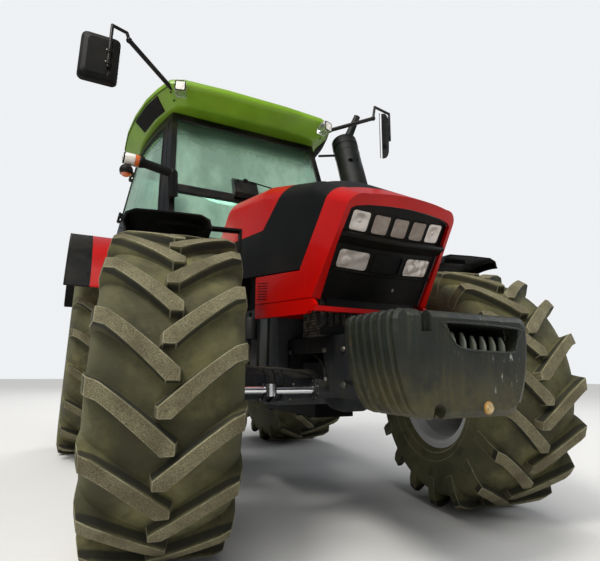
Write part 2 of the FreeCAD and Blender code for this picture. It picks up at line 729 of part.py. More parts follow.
def bulkhead():
    y, z = HOOD_HINGE_Y, HOOD_HINGE_Z
    outer = HINGE_POST_X + 24
    floor = 1150 + PIN_GAP
    tube = rod((-outer, y, z), (outer, y, z), HOOD_TUBE_RADIUS)
    post = [(y - 20, z + 16), (y + 16, z + 16), (y + 20, z - 20), (BULKHEAD_Y, 1640), (BULKHEAD_Y, floor),
            (y, floor), (y - 20, 1300)]
    posts = [side_prism(post, x, x + 24) for x in (HINGE_POST_X, -outer)]
    wall = front_prism([(-380, floor), (380, floor), (380, 1545), (300, 1655), (230, 1715), (-230, 1715),
                        (-300, 1655), (-380, 1545)], BULKHEAD_Y, BULKHEAD_Y + 12)
    keep("bulkhead", union([tube, wall] + posts))


def side_panels():
    shell = hood_solid(0).cut(hood_solid(HOOD_WALL))
    rear = F + 250
    foot = 1042
    zone = side_prism([
        (NOSE_BOTTOM_Y, NOSE_BOTTOM_Z - SEAM_GAP), (BAND_FOOT_Y, BAND_FOOT_Z - SEAM_GAP),
        (rear, 1290 - SEAM_GAP), (rear - 20, foot), (F - 300, foot - 18)], -700, 700)
    panels = shell.common(zone)
    skin = hood_solid(0).cut(hood_solid(5))
    seam = side_prism([(F - 345, 1092), (rear, 1120), (rear, 1125), (F - 345, 1097)], -700, 700)
    cutters = [seam]
    for i in range(7):
        z = 1136 + 15 * i
        cutters.append(side_prism([(F + 96, z), (F + 218, z + 14), (F + 218, z + 19), (F + 96, z + 5)], -700, 700))
    panels = panels.cut([cutter.common(skin) for cutter in cutters])
    chin = hood_solid(1).common(box(-700, 700, NOSE_BOTTOM_Y - 2, NOSE_BOTTOM_Y + 40, foot - 8,
                                    NOSE_BOTTOM_Z - SEAM_GAP))
    stays = [chin.common(box(-700, 700, -BEYOND * 2, BEYOND, foot - 8, foot - 8 + CHIN))]
    for y in (F - 40, F + 150):
        stays.append(box(-400, 400, y, y + 30, 1050, 1070).common(hood_solid(HOOD_WALL - 1)))
        stays.append(box(-60, 60, y, y + 30, FRAME_TOP + PIN_GAP, 1060))
    keep("side_panels", union([panels] + stays))


# Cab: both sides are curved in plan and lean inward toward the roof
def side_x(z):
    return CAB_HALF - CAB_TUMBLE * (z - CAB_WAIST_Z)


def side_curve(depth, z):
    radius = CAB_PLAN_RADIUS - depth
    centre = side_x(z) - CAB_PLAN_RADIUS
    points = []
    for y in (CAB_FRONT, F + 1700, CAB_REAR):
        points.append(V(centre + math.sqrt(radius ** 2 - (y - R) ** 2), y, z))
    return points


def leaning(wire_points, arcs, z0, z1):
    """A slab that leans with the cab's side, from a closed run of points and arcs."""
    edges = [Part.Arc(*arc).toShape() for arc in arcs]
    for p, q in wire_points:
        edges.append(Part.makeLine(p, q))
    wire = Part.Wire(Part.__sortEdges__(edges))
    return Part.Face(wire).extrude(V(-CAB_TUMBLE * (z1 - z0), 0, z1 - z0))


def cab_side(near, far, z0, z1):
    """The curved, leaning slab of the cab's left side, from one depth to another."""
    outer, inner = side_curve(near, z0), side_curve(far, z0)
    return leaning([(outer[0], inner[0]), (outer[2], inner[2])], [outer, inner], z0, z1)


def cab_core(inset, z0, z1):
    """The room between the curved sides, drawn in by a depth."""
    outer = side_curve(inset, z0)
    far = -2 * BEYOND
    a, b = V(far, outer[0].y, z0), V(far, outer[2].y, z0)
    half = leaning([(outer[0], a), (a, b), (b, outer[2])], [outer], z0, z1)
    return half.common(mirror(half))


def screen_y(z):
    return PILLAR_TOP_Y - SCREEN_SLOPE * (PILLAR_TOP_Z - z)


def arc_disc(radius, x0, x1):
    return Part.makeCylinder(radius, x1 - x0, V(x0, R, REAR_RADIUS), V(1, 0, 0))


DOOR_SWEEP = math.sqrt(FENDER_RADIUS ** 2 + (EXTENSION_OUTER - CAB_HALF + 60) ** 2) + 15


def door_outline(grow):
    z0, z1 = DOOR_BOTTOM - grow, PILLAR_TOP_Z - 40 + grow
    front = 40 - grow
    back = HINGE_Y - 20 + grow
    return side_prism([(screen_y(z0) + front, z0), (back, z0), (back, z1), (screen_y(z1) + front, z1)],
                      0, BEYOND).cut(arc_disc(DOOR_SWEEP - grow, -10, BEYOND + 10))


def quarter_outline(gap):
    front, back = HINGE_Y + 50 + gap, CAB_REAR - 60 - gap
    return side_prism([(front, DIVIDER_Z + gap), (back, DIVIDER_Z + gap), (back, REAR_PANE_TOP - gap),
                       (front, REAR_PANE_TOP - gap)], 0, BEYOND)


def hinge_point(z):
    return side_x(z) + HINGE_OUT, HINGE_Y, z


def hinge_leaf(outline, z0, z1):
    """A plate that leans with the cab's side, from points given from the side's widest line at the hinge."""
    x = side_x(z0)
    return face([(x + u, HINGE_Y + v, z0) for u, v in outline]).extrude(V(-CAB_TUMBLE * (z1 - z0), 0, z1 - z0))


def door_hinges():
    """The barrels on the left door, the ears on its pillar and the bores, for both heights."""
    door_leaf = [(-12, -70), (24, -70), (32, 0), (10, 0), (10, -24), (-12, -24)]
    post_leaf = [(-12, 12), (-12, 44), (24, 44), (32, 0), (10, 0), (10, 12)]
    barrel, reach = 20, 52
    barrels, ears, bores = [], [], []
    for z in HINGE_HEIGHTS:
        low, high = hinge_point(z - barrel), hinge_point(z + barrel)
        barrels += [rod(low, high, HINGE_BARREL), hinge_leaf(door_leaf, z - barrel, z + barrel)]
        bores.append(rod(hinge_point(z - 60), hinge_point(z + 60), HINGE_PIN + PIN_GAP))
        for start, end in ((z - reach, z - barrel - WORK_GAP), (z + barrel + WORK_GAP, z + reach)):
            ears += [rod(hinge_point(start), hinge_point(end), HINGE_BARREL), hinge_leaf(post_leaf, start, end)]
        ears.append(rod(hinge_point(z - reach), hinge_point(z + reach), HINGE_PIN))
    return barrels, ears, bores


def screen_strip(z0, z1, back, front):
    """A slanted strip in side view, set from the windscreen line."""
    return side_prism([(screen_y(z0) + back, z0), (screen_y(z1) + back, z1),
                       (screen_y(z1) + front, z1), (screen_y(z0) + front, z0)], -BEYOND, BEYOND)


SCREENS = ((SCREEN_LOW, DIVIDER_Z), (DIVIDER_Z + DIVIDER, SCREEN_TOP))


def cab_frame(ears):
    z0, z1 = CAB_FLOOR, ROOF_BOTTOM
    over = 20
    outline = screen_block(z0, z1, -SCREEN_OUT, CAB_REAR)
    hollow = screen_block(z0 - over, z1 + over, 12, CAB_REAR - CAB_WALL)
    inner = cab_core(CAB_WALL, z0 - over, z1 + over)
    shell = cab_core(0, z0, z1).common(outline).cut(inner.common(hollow))
    shell = shell.cut(arc_disc(FENDER_RADIUS + PIN_GAP, WELL, BEYOND))
    shell = shell.cut(arc_disc(FENDER_RADIUS + PIN_GAP, -BEYOND, -WELL))
    for cutter in (door_outline(DOOR_GAP), quarter_outline(0)):
        shell = shell.cut(cutter).cut(mirror(cutter))
    for low, high in SCREENS:
        shell = shell.cut(inner.common(screen_strip(low, high, -60, 40)))
    shell = shell.cut(inner.common(box(-BEYOND, BEYOND, CAB_REAR - 60, CAB_REAR + 10, REAR_PANE_LOW, REAR_PANE_TOP)))
    low, high = DIVIDER_Z + 35, DIVIDER_Z + 230
    motor = ruled([
        [(-205, screen_y(z) - SCREEN_OUT - out, z), (5, screen_y(z) - SCREEN_OUT - out, z),
         (5, screen_y(z) - 16, z), (-205, screen_y(z) - 16, z)]
        for z, out in ((low, 30), (low + 40, 62), (high - 30, 50), (high, 20))])
    return union([shell, motor] + ears + [mirror(ear) for ear in ears])


def screen_block(z0, z1, front, back):
    """The cab's side view from the windscreen line to a plane at the back."""
    return side_prism([(screen_y(z0) + front, z0), (back, z0), (back, z1), (screen_y(z1) + front, z1)],
                      -BEYOND, BEYOND)


def cab_floor():
    top = CAB_FLOOR + CAB_DECK
    seat_radius = FENDER_RADIUS + PIN_GAP
    wall = 15
    front = screen_y(top) + 14
    reach = R - math.sqrt((seat_radius + 8) ** 2 - (top - REAR_RADIUS) ** 2)
    rear = CAB_REAR - CAB_WALL - PIN_GAP
    side_top = 2400
    room = cab_core(CAB_WALL + PIN_GAP, CAB_FLOOR - 5, ROOF_BOTTOM)
    floor = [box(-BEYOND, BEYOND, front, reach, CAB_FLOOR, top).common(room),
             box(-WELL, WELL, reach - 20, rear, CAB_FLOOR, top)]
    ring = arc_disc(seat_radius + wall, WELL - wall, BEYOND)
    hub = arc_disc(seat_radius, WELL, BEYOND + 10)
    house = ring.cut(hub).common(room).common(box(WELL - wall, BEYOND, reach - 60, rear, CAB_FLOOR, side_top))
    return union(floor + [house, mirror(house)])


def cab_glass():
    inside = cab_core(CAB_WALL + PIN_GAP, CAB_FLOOR, ROOF_BOTTOM)
    panes = []
    for low, high in SCREENS:
        panes.append(inside.common(screen_strip(low + PIN_GAP, high - PIN_GAP, -2 * GLASS, -GLASS)))
    panes.append(inside.common(box(-BEYOND, BEYOND, CAB_REAR - 22, CAB_REAR - 22 + GLASS,
                                   REAR_PANE_LOW + PIN_GAP, REAR_PANE_TOP - PIN_GAP)))
    quarter = cab_side(12, 12 + GLASS, CAB_FLOOR, ROOF_BOTTOM).common(quarter_outline(PIN_GAP))
    return Part.makeCompound(panes + [quarter, mirror(quarter)])


def door_handle():
    """A loop of bent bar on the left door, along its slanted front edge."""
    half, reach, radius = 85, 42, 12
    points = []
    for z, out in ((HANDLE_Z + half, -radius), (HANDLE_Z + half - radius, reach), (HANDLE_Z - half + radius, reach),
                   (HANDLE_Z - half, -radius)):
        y = screen_y(z) + 75
        points.append((side_x(z) - (R - y) ** 2 / (2 * CAB_PLAN_RADIUS) + out, y, z))
    return bent_rod(points, radius)


def doors(barrels, bores):
    low, high = CAB_FLOOR - 100, ROOF_BOTTOM + 50
    panel = cab_side(0, DOOR_WALL, low, high).common(door_outline(0))
    handle = door_handle().cut(cab_core(DOOR_WALL / 2, low, high))
    frame = panel.cut(door_outline(-DOOR_BORDER)).multiFuse(barrels + [handle]).cut(bores)
    pane = cab_side(10, 10 + GLASS, low, high).common(door_outline(-DOOR_BORDER - PIN_GAP))
    for side, tag in ((1, "left"), (-1, "right")):
        keep("door_" + tag, on_side(frame, side))
        keep("door_glass_" + tag, on_side(pane, side))


def roof_plan(z, inset):
    """The roof's outline at a height, drawn in by a distance."""
    # columns: place across, place along; the left half from the front to the rear
    half = [(300, F + 1345), (690, F + 1372), (800, F + 1430), (870, F + 1610), (931, F + 1825),
            (983, F + 2167), (1005, F + 2515), (995, CAB_REAR - 240), (880, CAB_REAR + 30)]
    around = half + [(-x, y) for x, y in reversed(half)]
    middle = (half[0][1] + half[-1][1]) / 2
    length = half[-1][1] - half[0][1]
    wide = (half[6][0] - inset) / half[6][0]
    long = (length - 2 * inset) / length
    return [(x * wide, middle + (y - middle) * long, z) for x, y in around]


def cab_roof():
    return ruled([roof_plan(ROOF_BOTTOM, 130), roof_plan(ROOF_EDGE, 8), roof_plan(ROOF_EDGE + 35, 0),
                  roof_plan(ROOF_SHOULDER, 22), roof_plan(ROOF_SHOULDER + 45, 150), roof_plan(ROOF_TOP, 480)])


def cab():
    barrels, ears, bores = door_hinges()
    keep("cab_frame", cab_frame(ears))
    keep("cab_floor", cab_floor())
    keep("cab_windows", cab_glass())
    doors(barrels, bores)
    keep("cab_roof", cab_roof())


def interior():
    deck = CAB_FLOOR + CAB_DECK
    seat_z = deck + 360
    back_z = seat_z + 110
    keep("seat_base", union([box(-220, 220, R - 420, R + 60, deck + PIN_GAP, seat_z - 30),
                             box(-240, 240, R - 460, R + 80, seat_z - 30, seat_z)]))
    cushion = box(-250, 250, R - 470, R + 40, seat_z + PIN_GAP, back_z)
    back = side_prism([(R + 20, back_z + PIN_GAP), (R + 130, back_z + PIN_GAP), (R + 250, back_z + 610),
                       (R + 150, back_z + 610)], -240, 240)
    keep("seat", Part.makeCompound([cushion, back]))
    wheel_y, wheel_z = R - 1120, deck + 640
    tilt = 24.8
    grip = []
    for i in range(8):
        angle = math.radians(45 * i + 22.5)
        grip.append((205 + 17 * math.cos(angle), 0, 17 * math.sin(angle)))
    pieces = [
        rod((0, wheel_y - 272, deck + 20), (0, wheel_y, wheel_z - 15), 45),
        box(-70, 70, wheel_y - 330, wheel_y - 210, deck + PIN_GAP, deck + 50),
        Part.makeCylinder(60, 70, V(0, wheel_y, wheel_z - 40), V(0, math.sin(math.radians(tilt)),
                                                                math.cos(math.radians(tilt)))),
        rotated(moved(face(grip).revolve(V(0, 0, 0), V(0, 0, 1), 360), 0, wheel_y, wheel_z),
                (0, wheel_y, wheel_z), (1, 0, 0), -tilt),
    ]
    for angle in (0, 120, 240):
        bar = box(-14, 14, wheel_y, wheel_y + 200, wheel_z - 10, wheel_z + 8)
        bar = rotated(bar, (0, wheel_y, wheel_z), (0, 0, 1), angle)
        pieces.append(rotated(bar, (0, wheel_y, wheel_z), (1, 0, 0), -tilt))
    keep("steering_wheel", union(pieces))
    keep("console", union([box(-520, -300, R - 700, R + 150, deck + PIN_GAP, deck + 560),
                           box(-500, -330, R - 760, R - 100, deck + 560, deck + 640)]))


def exhaust():
    lean = V(-EXHAUST_LEAN, -SCREEN_SLOPE, -1)
    top = V(EXHAUST_X, screen_y(EXHAUST_TOP) - EXHAUST_RADIUS - EXHAUST_CLEAR, EXHAUST_TOP)
    foot = top + lean * EXHAUST_LENGTH
    neck = top + lean * (EXHAUST_LENGTH + 100)
    pipe = EXHAUST_PIPE
    port_y, port_z = F + 975, 1480
    low = V(560, port_y, 1560)
    bend = V(neck.x, port_y + 35, 1700)
    port = V(300, port_y, port_z)
    can = Part.makeCylinder(EXHAUST_RADIUS, (top - foot).Length, foot, top - foot)
    collar = Part.makeCylinder(EXHAUST_RADIUS + 5, 70, top + lean * 90, top - foot)
    run = bent_rod([tuple(p) for p in (foot, neck, bend, low, port, V(port.x, BULKHEAD_Y + 12 + PIN_GAP, port_z))],
                   pipe)
    outlet = Part.makeCone(50, 32, OUTLET_RISE, top - V(0, 0, 40), V(0.34, -0.24, 1))
    pieces = [can, collar, run, outlet]
    for drop in (160, 810):
        z = EXHAUST_TOP - drop
        pieces.append(rod(top + lean * drop, V(760, screen_y(z) - SCREEN_OUT - PIN_GAP, z), 12))
    slot_at = top + lean * 300 + V(-60, -EXHAUST_RADIUS, 0)
    across = V(60, -20, 26)
    body = union(pieces)
    for p in (slot_at, slot_at + across):
        body = body.cut(Part.makeCylinder(24, 60, p - V(0, 30, 0), V(0, 1, 0)))
    slot = side_slot(slot_at, slot_at + across, 24, 60)
    keep("exhaust", body.cut(slot))


def side_slot(p, q, half, depth):
    """The straight middle of a slot between two points, cut along the tractor."""
    run = V(q.x - p.x, 0, q.z - p.z)
    up = V(-run.z, 0, run.x).normalize() * half
    y = V(0, min(p.y, q.y) - 30 - p.y, 0)
    corners = [p + y + up, p + y - up, V(q.x, p.y, q.z) + y - up, V(q.x, p.y, q.z) + y + up]
    return Part.Face(Part.makePolygon(corners + corners[:1])).extrude(V(0, depth, 0))


def mirror_head(tilt):
    """A head with a domed back toward the front, its own middle at the origin."""
    half, tall = MIRROR_WIDTH / 2, MIRROR_HEIGHT / 2
    # columns: place along, inset of the outline, corner radius
    layers = ((-MIRROR_DEPTH / 2, 52, 30), (-MIRROR_DEPTH / 2 + 12, 22, 36), (-4, 4, 42), (MIRROR_DEPTH / 2, 0, 44))
    sections = []
    for y, inset, radius in layers:
        outline = rounded(-half + inset, half - inset, -tall + inset, tall - inset, radius)
        sections.append([(x, y, z) for x, z in outline])
    return rotated(ruled(sections), (0, 0, 0), (0, 0, 1), tilt)


def mirrors():
    arms, heads = [], []
    bottom = ROOF_BOTTOM
    # columns: side, elbow across, along and above the roof's edge, head along and above it, its turn
    rows = ((1, 1170, F + 1215, 225, F + 1323, 138, 53.0), (-1, 1150, F + 1250, 290, F + 1250, 65, 0.0))
    for side, elbow_x, elbow_y, elbow_up, head_y, head_up, tilt in rows:
        head = mirror_head(tilt)
        head_x, head_z = MIRROR_REACH - head.BoundBox.XMax, bottom + head_up
        turn = math.radians(tilt)
        across, ahead = V(math.cos(turn), math.sin(turn), 0), V(math.sin(turn), -math.cos(turn), 0)
        centre = V(head_x, head_y, head_z)
        tube = centre - across * (MIRROR_WIDTH * 0.22) + ahead * (MIRROR_DEPTH / 2 + MIRROR_TUBE - 4)
        upper = V(tube.x, tube.y, bottom + elbow_up + head_up - 10)
        root = (690, F + 1500, bottom + 70)
        elbow = (elbow_x, elbow_y, bottom + elbow_up)
        loop = (elbow_x + 22, elbow_y, bottom + elbow_up + head_up - 5)
        thick = rod(root, elbow, 19)
        thin = bent_rod([elbow, loop, tuple(upper), (tube.x, tube.y, head_z - 90)], MIRROR_TUBE)
        arm = union([thick, Part.makeSphere(24, V(*elbow)), thin])
        groove = rod((tube.x, tube.y, head_z - BEYOND), (tube.x, tube.y, head_z + BEYOND), MIRROR_TUBE + PIN_GAP)
        heads.append(on_side(moved(head, head_x, head_y, head_z).cut(groove), side))
        arms.append(on_side(arm, side).cut(PARTS["cab_roof"]))
    keep("mirror_arms", Part.makeCompound(arms))
    keep("mirror_heads", Part.makeCompound(heads))


def lamps():
    """Two work lamps at the roof's front corners and two tail lamps on the rear fenders."""
    both_sides = []
    roof = PARTS["cab_roof"]
    lamp = box(655, 745, F + 1325, F + 1440, ROOF_BOTTOM + 25, ROOF_BOTTOM + 120)
    lamp = rotated(lamp, (700, F + 1380, ROOF_BOTTOM), (0, 0, 1), 18).cut(roof)
    lamp = max(lamp.Solids, key=lambda solid: solid.Volume)
    seat = REAR_RADIUS + FENDER_RADIUS
    tail = rotated(box(1000, 1180, R - 45, R + 45, seat + PIN_GAP, seat + 60), (0, R, REAR_RADIUS), (1, 0, 0), -50)
    for side in (1, -1):
        both_sides += [on_side(lamp, side), on_side(tail, side)]
    keep("lamps", Part.makeCompound(both_sides))


def marker_lamp():
    """The lamp on a bent arm beside the right front pillar, with a ball lamp under its end."""
    z = CAB_WAIST_Z - 120
    y = F + 1195
    root_x, knee_x, end_x, tip_x = -725, -745, -1000, -1110
    foot = (root_x, screen_y(z) - 20, z)
    pieces = [
        rod(foot, (root_x, y + 40, z), 26),
        rod((root_x, y + 40, z - 20), (knee_x, y, z + 150), 38),
        Part.makeSphere(38, V(knee_x, y, z + 150)),
        rod((knee_x, y, z + 150), (end_x, y, z + 195), 34),
        rod((end_x + 40, y - 4, z + 190), (tip_x, y - 4, z + 200), 42),
        rod((tip_x + 30, y, z + 190), (tip_x + 30, y, z + 120), 12),
        Part.makeSphere(48, V(tip_x + 30, y, z + 105)),
    ]
    keep("marker_lamp", union(pieces).cut(PARTS["cab_frame"]))


def tank_and_steps():
    front, back = F + 800, F + 1700
    near, far = 300, 620
    stile_front, stile_back = F + 1160, F + 1560
    stile = 20
    pieces = [box(near, far, front, back, 430, 1080)]
    for i, z in enumerate((470, 760, 1050)):
        pieces.append(box(far - 5, 950 - 40 * i, stile_front + stile, stile_back, z, z + 30))
    for y in (stile_front, stile_back):
        pieces.append(box(far - 5, 900, y, y + stile, 470, 1080))
    for y in (F + 1340, F + 1600):
        pieces.append(box(230 + PIN_GAP, near + 10, y, y + 60, 700, 900))
    keep("tank_and_steps", both(union(pieces)))


def rear_fenders():
    ring = arc_disc(FENDER_RADIUS, FENDER_INNER, EXTENSION_OUTER).cut(
        arc_disc(FENDER_RADIUS - FENDER_WALL, FENDER_INNER, EXTENSION_OUTER))
    reach = 3000.0
    rays = []
    for degrees in (FENDER_START, 0, FENDER_END):
        angle = math.radians(degrees)
        rays.append((R + reach * math.sin(angle), REAR_RADIUS + reach * math.cos(angle)))
    ring = ring.common(side_prism([(R, REAR_RADIUS)] + rays, FENDER_INNER, EXTENSION_OUTER))
    keep("rear_fenders", both(ring.common(box(0, FENDER_OUTER, -5000, 5000, 0, 3000))))
    keep("fender_extensions", both(ring.common(box(FENDER_OUTER, 2000, -5000, 5000, 0, 3000))))


# Rear linkage
def link_point(distance):
    angle = math.radians(LINK_REST)
    return LINK_PIVOT_Y + distance * math.cos(angle), LINK_PIVOT_Z + distance * math.sin(angle)


def lower_link():
    """The left lower link; its rear eye stands square to the link."""
    end_y, end_z = link_point(LINK_LENGTH)
    rod_y, rod_z = link_point(ROD_AT)
    share = ROD_AT / LINK_LENGTH
    rod_x = LINK_ROOT_X + (LINK_END_X - LINK_ROOT_X) * share
    root = V(LINK_ROOT_X, LINK_PIVOT_Y, LINK_PIVOT_Z)
    end = V(LINK_END_X, end_y, end_z)
    along = (end - root).normalize()
    square = (V(1, 0, 0) - along * along.x).normalize()
    pin = V(BALL_HALF, 0, 0)
    eye = square * BALL_HALF
    link = union([
        rod(root, end, LINK_BAR), rod(end - eye, end + eye, LINK_EYE), rod(root - pin, root + pin, LINK_EYE - 2),
        rod((rod_x, rod_y, rod_z), (LIFT_ROD_X + LIFT_PIN + WORK_GAP, rod_y, rod_z), 30)])
    link = link.cut(rod(root - pin * 3, root + pin * 3, LINK_PIN_RADIUS + PIN_GAP))
    return link.cut(rod(end - eye * 3, end + eye * 3, BALL_BORE))


def lift_arm(side):
    x, half = side * LIFT_ARM_X, LIFT_ARM_WALL
    tip = SHAFT_Y + LIFT_ARM
    blade = [(SHAFT_Y, SHAFT_Z - 60), (tip, SHAFT_Z - 34), (tip + 30, SHAFT_Z), (tip, SHAFT_Z + 34),
             (SHAFT_Y, SHAFT_Z + 60)]
    return [rod((x - half, SHAFT_Y, SHAFT_Z), (x + half, SHAFT_Y, SHAFT_Z), 75), side_prism(blade, x - half, x + half),
            rod((x, tip, SHAFT_Z), (side * (LIFT_ROD_X + LIFT_PIN), tip, SHAFT_Z), LIFT_PIN)]


def lift_rod(side):
    x = side * LIFT_ROD_X
    rod_y, rod_z = link_point(ROD_AT)
    tip = SHAFT_Y + LIFT_ARM
    half, reach = 11, 40
    body = union([
        rod((x, rod_y, rod_z), (x, tip, SHAFT_Z), 14), rod((x, rod_y, rod_z + 200), (x, tip, SHAFT_Z - 110), 20),
        rod((x - half, tip, SHAFT_Z), (x + half, tip, SHAFT_Z), 32),
        rod((x - half, rod_y, rod_z), (x + half, rod_y, rod_z), 32)])
    return body.cut([rod((x - reach, tip, SHAFT_Z), (x + reach, tip, SHAFT_Z), LIFT_PIN + PIN_GAP),
                     rod((x - reach, rod_y, rod_z), (x + reach, rod_y, rod_z), LIFT_PIN)])


def hitch_frame():
    back = R + 200 + PIN_GAP
    housing = LIFT_ARM_X - LIFT_ARM_WALL - WORK_GAP
    frame = [
        rod((-housing, SHAFT_Y, SHAFT_Z), (housing, SHAFT_Y, SHAFT_Z), 78),
        box(-200, 200, back, SHAFT_Y, SHAFT_Z - 110, SHAFT_Z + 40),
        box(-180, 180, back, back + 90, 420, SHAFT_Z - 50),
        rod((0, back + 50, PTO_Z), (0, back + 110, PTO_Z), 60),
        rod((0, back + 110, PTO_Z), (0, back + 200, PTO_Z), PTO_RADIUS),
        box(-45, 45, R - 250, DRAWBAR_END, DRAWBAR_Z - DRAWBAR_HALF, DRAWBAR_Z + DRAWBAR_HALF),
        box(-80, 80, back, back + 60, DRAWBAR_Z - DRAWBAR_HALF, 430),
    ]
    for side in (1, -1):
        x0, x1 = sorted((side * 150, side * 200))
        frame.append(box(x0, x1, back - 90, back + 60, LINK_PIVOT_Z - 60, 640 - PIN_GAP))
        frame.append(rod((side * 150, LINK_PIVOT_Y, LINK_PIVOT_Z),
                         (side * (LINK_ROOT_X + 30), LINK_PIVOT_Y, LINK_PIVOT_Z), LINK_PIN_RADIUS))
    hole_y = DRAWBAR_END - 40
    return union(frame).cut([
        rod((-400, SHAFT_Y, SHAFT_Z), (400, SHAFT_Y, SHAFT_Z), SHAFT_RADIUS + PIN_GAP),
        rod((0, hole_y, 0), (0, hole_y, 1000), DRAWBAR_BORE)])


def linkage():
    link = lower_link()
    share = 640 / LINK_LENGTH
    tie_x = LINK_ROOT_X + (LINK_END_X - LINK_ROOT_X) * share
    tie_y, tie_z = link_point(640)
    tie = rod((-tie_x, tie_y, tie_z), (tie_x, tie_y, tie_z), 16)
    keep("lower_links", union([link, mirror(link), tie]))
    shaft = rod((-LIFT_ARM_X, SHAFT_Y, SHAFT_Z), (LIFT_ARM_X, SHAFT_Y, SHAFT_Z), SHAFT_RADIUS)
    keep("lift_arms", union([shaft] + lift_arm(1) + lift_arm(-1)))
    keep("lift_rods", Part.makeCompound([lift_rod(1), lift_rod(-1)]))
    keep("hitch_frame", hitch_frame())


def main():
    wheels()
    for side, tag in ((1, "left"), (-1, "right")):
        keep("knuckle_" + tag, knuckle(side))
        keep("front_fender_" + tag, front_fender(side))
    steering()
    chassis()
    ballast()
    hood()
    bulkhead()
    side_panels()
    cab()
    rear_fenders()
    linkage()
    interior()
    exhaust()
    mirrors()
    lamps()
    marker_lamp()
    tank_and_steps()
    os.makedirs("parts", exist_ok=True)
    for name, shape in PARTS.items():
        shape.exportStep("parts/" + name + ".step")


main()
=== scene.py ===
"""A farm tractor's finishes and detail pieces, built round its packed construction model."""

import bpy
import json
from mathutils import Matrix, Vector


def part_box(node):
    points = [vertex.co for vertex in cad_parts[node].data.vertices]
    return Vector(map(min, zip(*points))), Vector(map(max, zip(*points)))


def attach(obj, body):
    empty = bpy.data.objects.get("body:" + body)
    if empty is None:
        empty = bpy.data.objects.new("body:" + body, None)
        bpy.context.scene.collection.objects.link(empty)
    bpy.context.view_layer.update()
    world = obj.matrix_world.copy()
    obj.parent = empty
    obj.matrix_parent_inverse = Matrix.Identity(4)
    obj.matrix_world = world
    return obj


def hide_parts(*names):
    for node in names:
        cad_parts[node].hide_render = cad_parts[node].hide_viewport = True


bl_info = {
    "name": "Farm tractor",
    "version": (1, 0, 0),
    "blender": (4, 5, 0),
    "location": "3D View > Sidebar > Tractor",
    "description": "Finishes, tyres, lamps, cab fittings and other detail for the farm tractor",
    "category": "Add Mesh",
}

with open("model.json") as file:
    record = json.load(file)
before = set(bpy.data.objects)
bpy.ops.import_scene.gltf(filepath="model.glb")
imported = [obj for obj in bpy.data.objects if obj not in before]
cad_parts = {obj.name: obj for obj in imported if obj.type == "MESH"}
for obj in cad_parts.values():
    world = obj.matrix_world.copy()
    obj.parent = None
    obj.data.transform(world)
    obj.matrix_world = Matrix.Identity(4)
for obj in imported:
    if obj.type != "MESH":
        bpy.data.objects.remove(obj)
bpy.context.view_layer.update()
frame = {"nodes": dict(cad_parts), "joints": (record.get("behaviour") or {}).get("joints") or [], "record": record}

import json
import math
from collections import namedtuple

import bmesh
import bpy
from mathutils import Matrix, Vector

TAU = 2 * math.pi
SIDES = ((1, "left"), (-1, "right"))


def tint(red, green, blue):
    """A colour given as it looks on a screen, 0 to 255, in the linear values that shaders take."""
    shown = (red, green, blue)
    return tuple(round(((c / 255 + 0.055) / 1.055) ** 2.4 if c > 10 else c / 3295, 5) for c in shown)


# Shader values and materials
class Tap:
    """A shader value. Python's operators on it add Math nodes."""

    def __init__(self, finish, socket):
        self.finish = finish
        self.socket = socket

    def math(self, operation, *values, clamp=False):
        settings = {"operation": operation, "use_clamp": clamp}
        return self.finish.node("ShaderNodeMath", settings, dict(enumerate(values)))

    def __add__(self, other):
        return self.math("ADD", self, other)

    def __radd__(self, other):
        return self.math("ADD", other, self)

    def __sub__(self, other):
        return self.math("SUBTRACT", self, other)

    def __rsub__(self, other):
        return self.math("SUBTRACT", other, self)

    def __mul__(self, other):
        return self.math("MULTIPLY", self, other)

    def __rmul__(self, other):
        return self.math("MULTIPLY", other, self)

    def __pow__(self, other):
        return self.math("POWER", self, other)

    def __rpow__(self, other):
        return self.math("POWER", other, self)

    def rises(self, low, high):
        """0 below low, 1 above high and smooth between; high under low turns it round."""
        flip = high < low
        inputs = {"Value": self, "From Min": min(low, high), "From Max": max(low, high),
                  "To Min": 1.0 if flip else 0.0, "To Max": 0.0 if flip else 1.0}
        return self.finish.node("ShaderNodeMapRange", {"interpolation_type": "SMOOTHSTEP"}, inputs)

    def held(self):
        """The value kept between 0 and 1."""
        return self.math("ADD", self, 0.0, clamp=True)

    def beside(self, output):
        """Another output of the same node."""
        return Tap(self.finish, self.socket.node.outputs[output])


